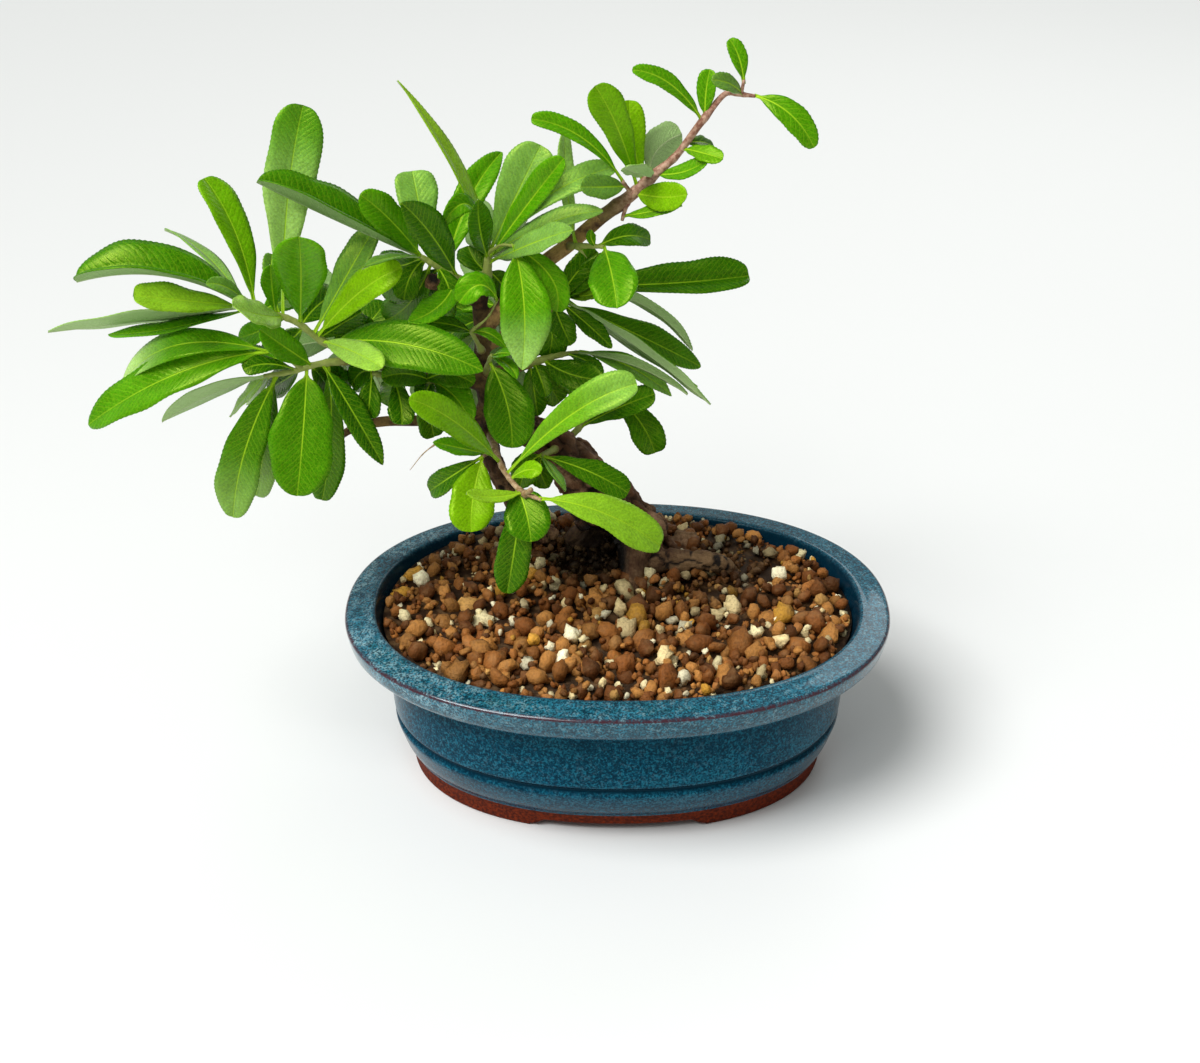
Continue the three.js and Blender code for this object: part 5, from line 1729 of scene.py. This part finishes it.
      ["De", [475, 383], [494, 364], [514, 346], 44, 10, 0.08, 160],
      ["Dl", [476, 384], [504, 382], [530, 388], 44, 10, 0.1, 150],
      ["De", [474, 382], [466, 406], [456, 430], 50, 9.5, 0.08, 170],
      ["Do", [477, 385], [446, 388], [414, 398], 38, 9.5, 0.1, 150],
    ],
  },
}
print("shoots:", len(SHOOTS), "leaves:", sum(len(parts["leaves"]) for parts in SHOOTS.values()))

# %% One leaf of a shoot
# Each tone is [how young, the pale colour and painted sheen at the stalk and at the tip, how olive]
TONES = {
    "D": (0.10, 0, 0, 0), "C": (0.22, 0, 0, 0), "M": (0.42, 0, 0, 0), "B": (0.70, 0, 0, 0),
    "Y": (0.88, 0.1, 0.1, 0), "G": (0.25, 0.22, 0.22, 0), "O": (0.40, 0, 0, 0.7),
    "P": (0.60, 0.65, 0.65, 0), "S": (0.36, 0.40, 0.40, 0), "L": (1.0, 0.60, 0.50, 0),
    "T": (0.80, 0.40, 0.30, 0), "V": (0.36, 0.75, 0.05, 0), "W": (0.40, 0, 0.66, 0),
    "F": (0.36, 0, 0.95, 0), "X": (0.14, 0, 0.40, 0), "Z": (0.72, 0.05, 0.38, 0),
}
AGE_VARIES = (-0.09, 0.09)
LEAF_FOLD = 0.24
FOLD_VARIES = (0.6, 1.4)
DEEP_FOLD = 0.55
STALK_SINK = 0.3 * MM
TWIG_SAMPLES = 60


def nearest_on_twigs(twigs, x, y):
    """The point of a shoot's twigs that appears nearest to (x, y)."""
    wanted = Vector((x, y))
    found = []
    for rows in twigs:
        points = line_of(rows)
        for step in range(TWIG_SAMPLES + 1):
            place = curve_point(points, step / TWIG_SAMPLES)[0]
            found.append(((appears_at(place) - wanted).length, place))
    return min(found, key=lambda pair: pair[0])[1]


def leaf_of(twigs, row, draw):
    """The leaf of one row of the table, with its stalk on the nearest twig."""
    (letter, shape), stalk, middle, tip, tip_depth, width, bow, turn, *own_fold = row
    base = nearest_on_twigs(twigs, *stalk)
    tip = sight(*tip, tip_depth)
    base_depth = (base.y - POT_CENTRE.y) / MM
    length = (tip - base).length
    middle = sight(*middle, (base_depth + tip_depth) / 2 - bow * length / MM)
    base -= (tip - base).normalized() * STALK_SINK
    young, *sheen_and_olive = TONES[letter.upper()]
    tone = young + draw.uniform(*AGE_VARIES), *sheen_and_olive
    fold = DEEP_FOLD if letter.islower() else LEAF_FOLD * draw.uniform(*FOLD_VARIES)
    if own_fold:
        fold = own_fold[0]
    return make_leaf(base, middle, tip, width * MM, math.radians(turn), shape, fold, tone, draw)


print("tones:", "".join(TONES))

# %% Build the shoots
TWIG_ROOT = 2.5
TWIG_ROOT_SLOPE = 0.3
TWIG_SIDES = 10
TWIG_STEP = 0.8 * MM
# How pink a shoot's twigs are, and how thin against their solids, with what holds for the other shoots
PINK_TWIGS = {"front": 0.8, "right_tip": 1.0, "right_inner": 0.7}
OTHER_PINK = 0.1
SLENDER_TWIGS = {"front": 0.52, "middle": 0.6, "middle_low": 0.6}
OTHER_SLENDER = 0.74
# The joints along a twig: how many there are, how far they swell, and how long each is
JOINTS = 6
JOINT_SWELL = 0.20
JOINT_LENGTH = 0.12


def rooted(rows):
    """A twig's rows with its first point drawn back into the branch it grows from."""
    first, second = Vector(rows[0][:3]), Vector(rows[1][:3])
    back = (first - second) * (TWIG_ROOT / ((first - second) * TWIG_ROOT_SLOPE).length)
    return [[*(first + back), rows[0][3]], *rows[1:]]


def twig_swell(slender):
    """A twig is thinner than its solid, and swells at the joints where its leaves sat."""

    def swell(t, angle):
        joint = JOINT_SWELL * math.exp(-((t * JOINTS % 1 - 0.5) / JOINT_LENGTH) ** 2)
        return mix(1.0, slender, smoothstep(0, 0.35, t)) * (1 + joint + 0.05 * math.sin(2 * angle + 20 * t))

    return swell


def make_shoot(name, parts):
    """A shoot's leaves and twigs in one piece. Its first twig is woody where it leaves the branch."""
    draw = random.Random(name)
    bm = bmesh.new()
    bm.loops.layers.uv.new("blade")
    toned = bm.verts.layers.float_color.new("tone")
    for row in parts["leaves"]:
        add_mesh(bm, leaf_of(parts["twigs"], row, draw))
    leaf_faces = len(bm.faces)
    pink = PINK_TWIGS.get(name, OTHER_PINK)
    swell = twig_swell(SLENDER_TWIGS.get(name, OTHER_SLENDER))
    for number, rows in enumerate(parts["twigs"]):
        first = number == 0
        for vert, t in limb(bm, rooted(rows) if first else rows, TWIG_SIDES, TWIG_STEP, swell):
            woody = 1 - smoothstep(0.02, 0.20, t) if first else 0
            vert[toned] = (pink, woody, 0, 1)
    bm.faces.ensure_lookup_table()
    for polygon in bm.faces[leaf_faces:]:
        polygon.material_index = 2
    mesh = mesh_from(bm, "leafy_" + name)
    finishes = [leaf_top, leaf_under, young_bark]
    return finish_piece("leafy_" + name, mesh, finishes, ["shoot_" + name])


shoots = [make_shoot(name, parts) for name, parts in SHOOTS.items()]
print("shoots:", len(shoots), "faces:", sum(len(s.data.polygons) for s in shoots))

# %% [markdown]
# ## The screens
# The two plastic screens over the drain holes keep their CAD shape, and only get a finish.

# %% Screen finish
SCREEN_BLACK = (0.012, 0.012, 0.012, 1)
SCREEN_GREY = (0.035, 0.035, 0.035, 1)
SCUFFS_PER_METRE = 400.0


def make_screen_plastic():
    """Dull black plastic with grey scuffs."""
    material, tree, shader = new_material("screen_plastic")
    scuffs = speckle(tree, place_on(tree), SCUFFS_PER_METRE)
    fill(tree, shader, {"Base Color": blend(tree, scuffs, SCREEN_BLACK, SCREEN_GREY), "Roughness": 0.55})
    return material


screen_plastic = make_screen_plastic()
for node in ("screen_1", "screen_2"):
    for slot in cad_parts[node].material_slots:
        slot.material = screen_plastic
print("screens:", [slot.material.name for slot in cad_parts["screen_1"].material_slots])
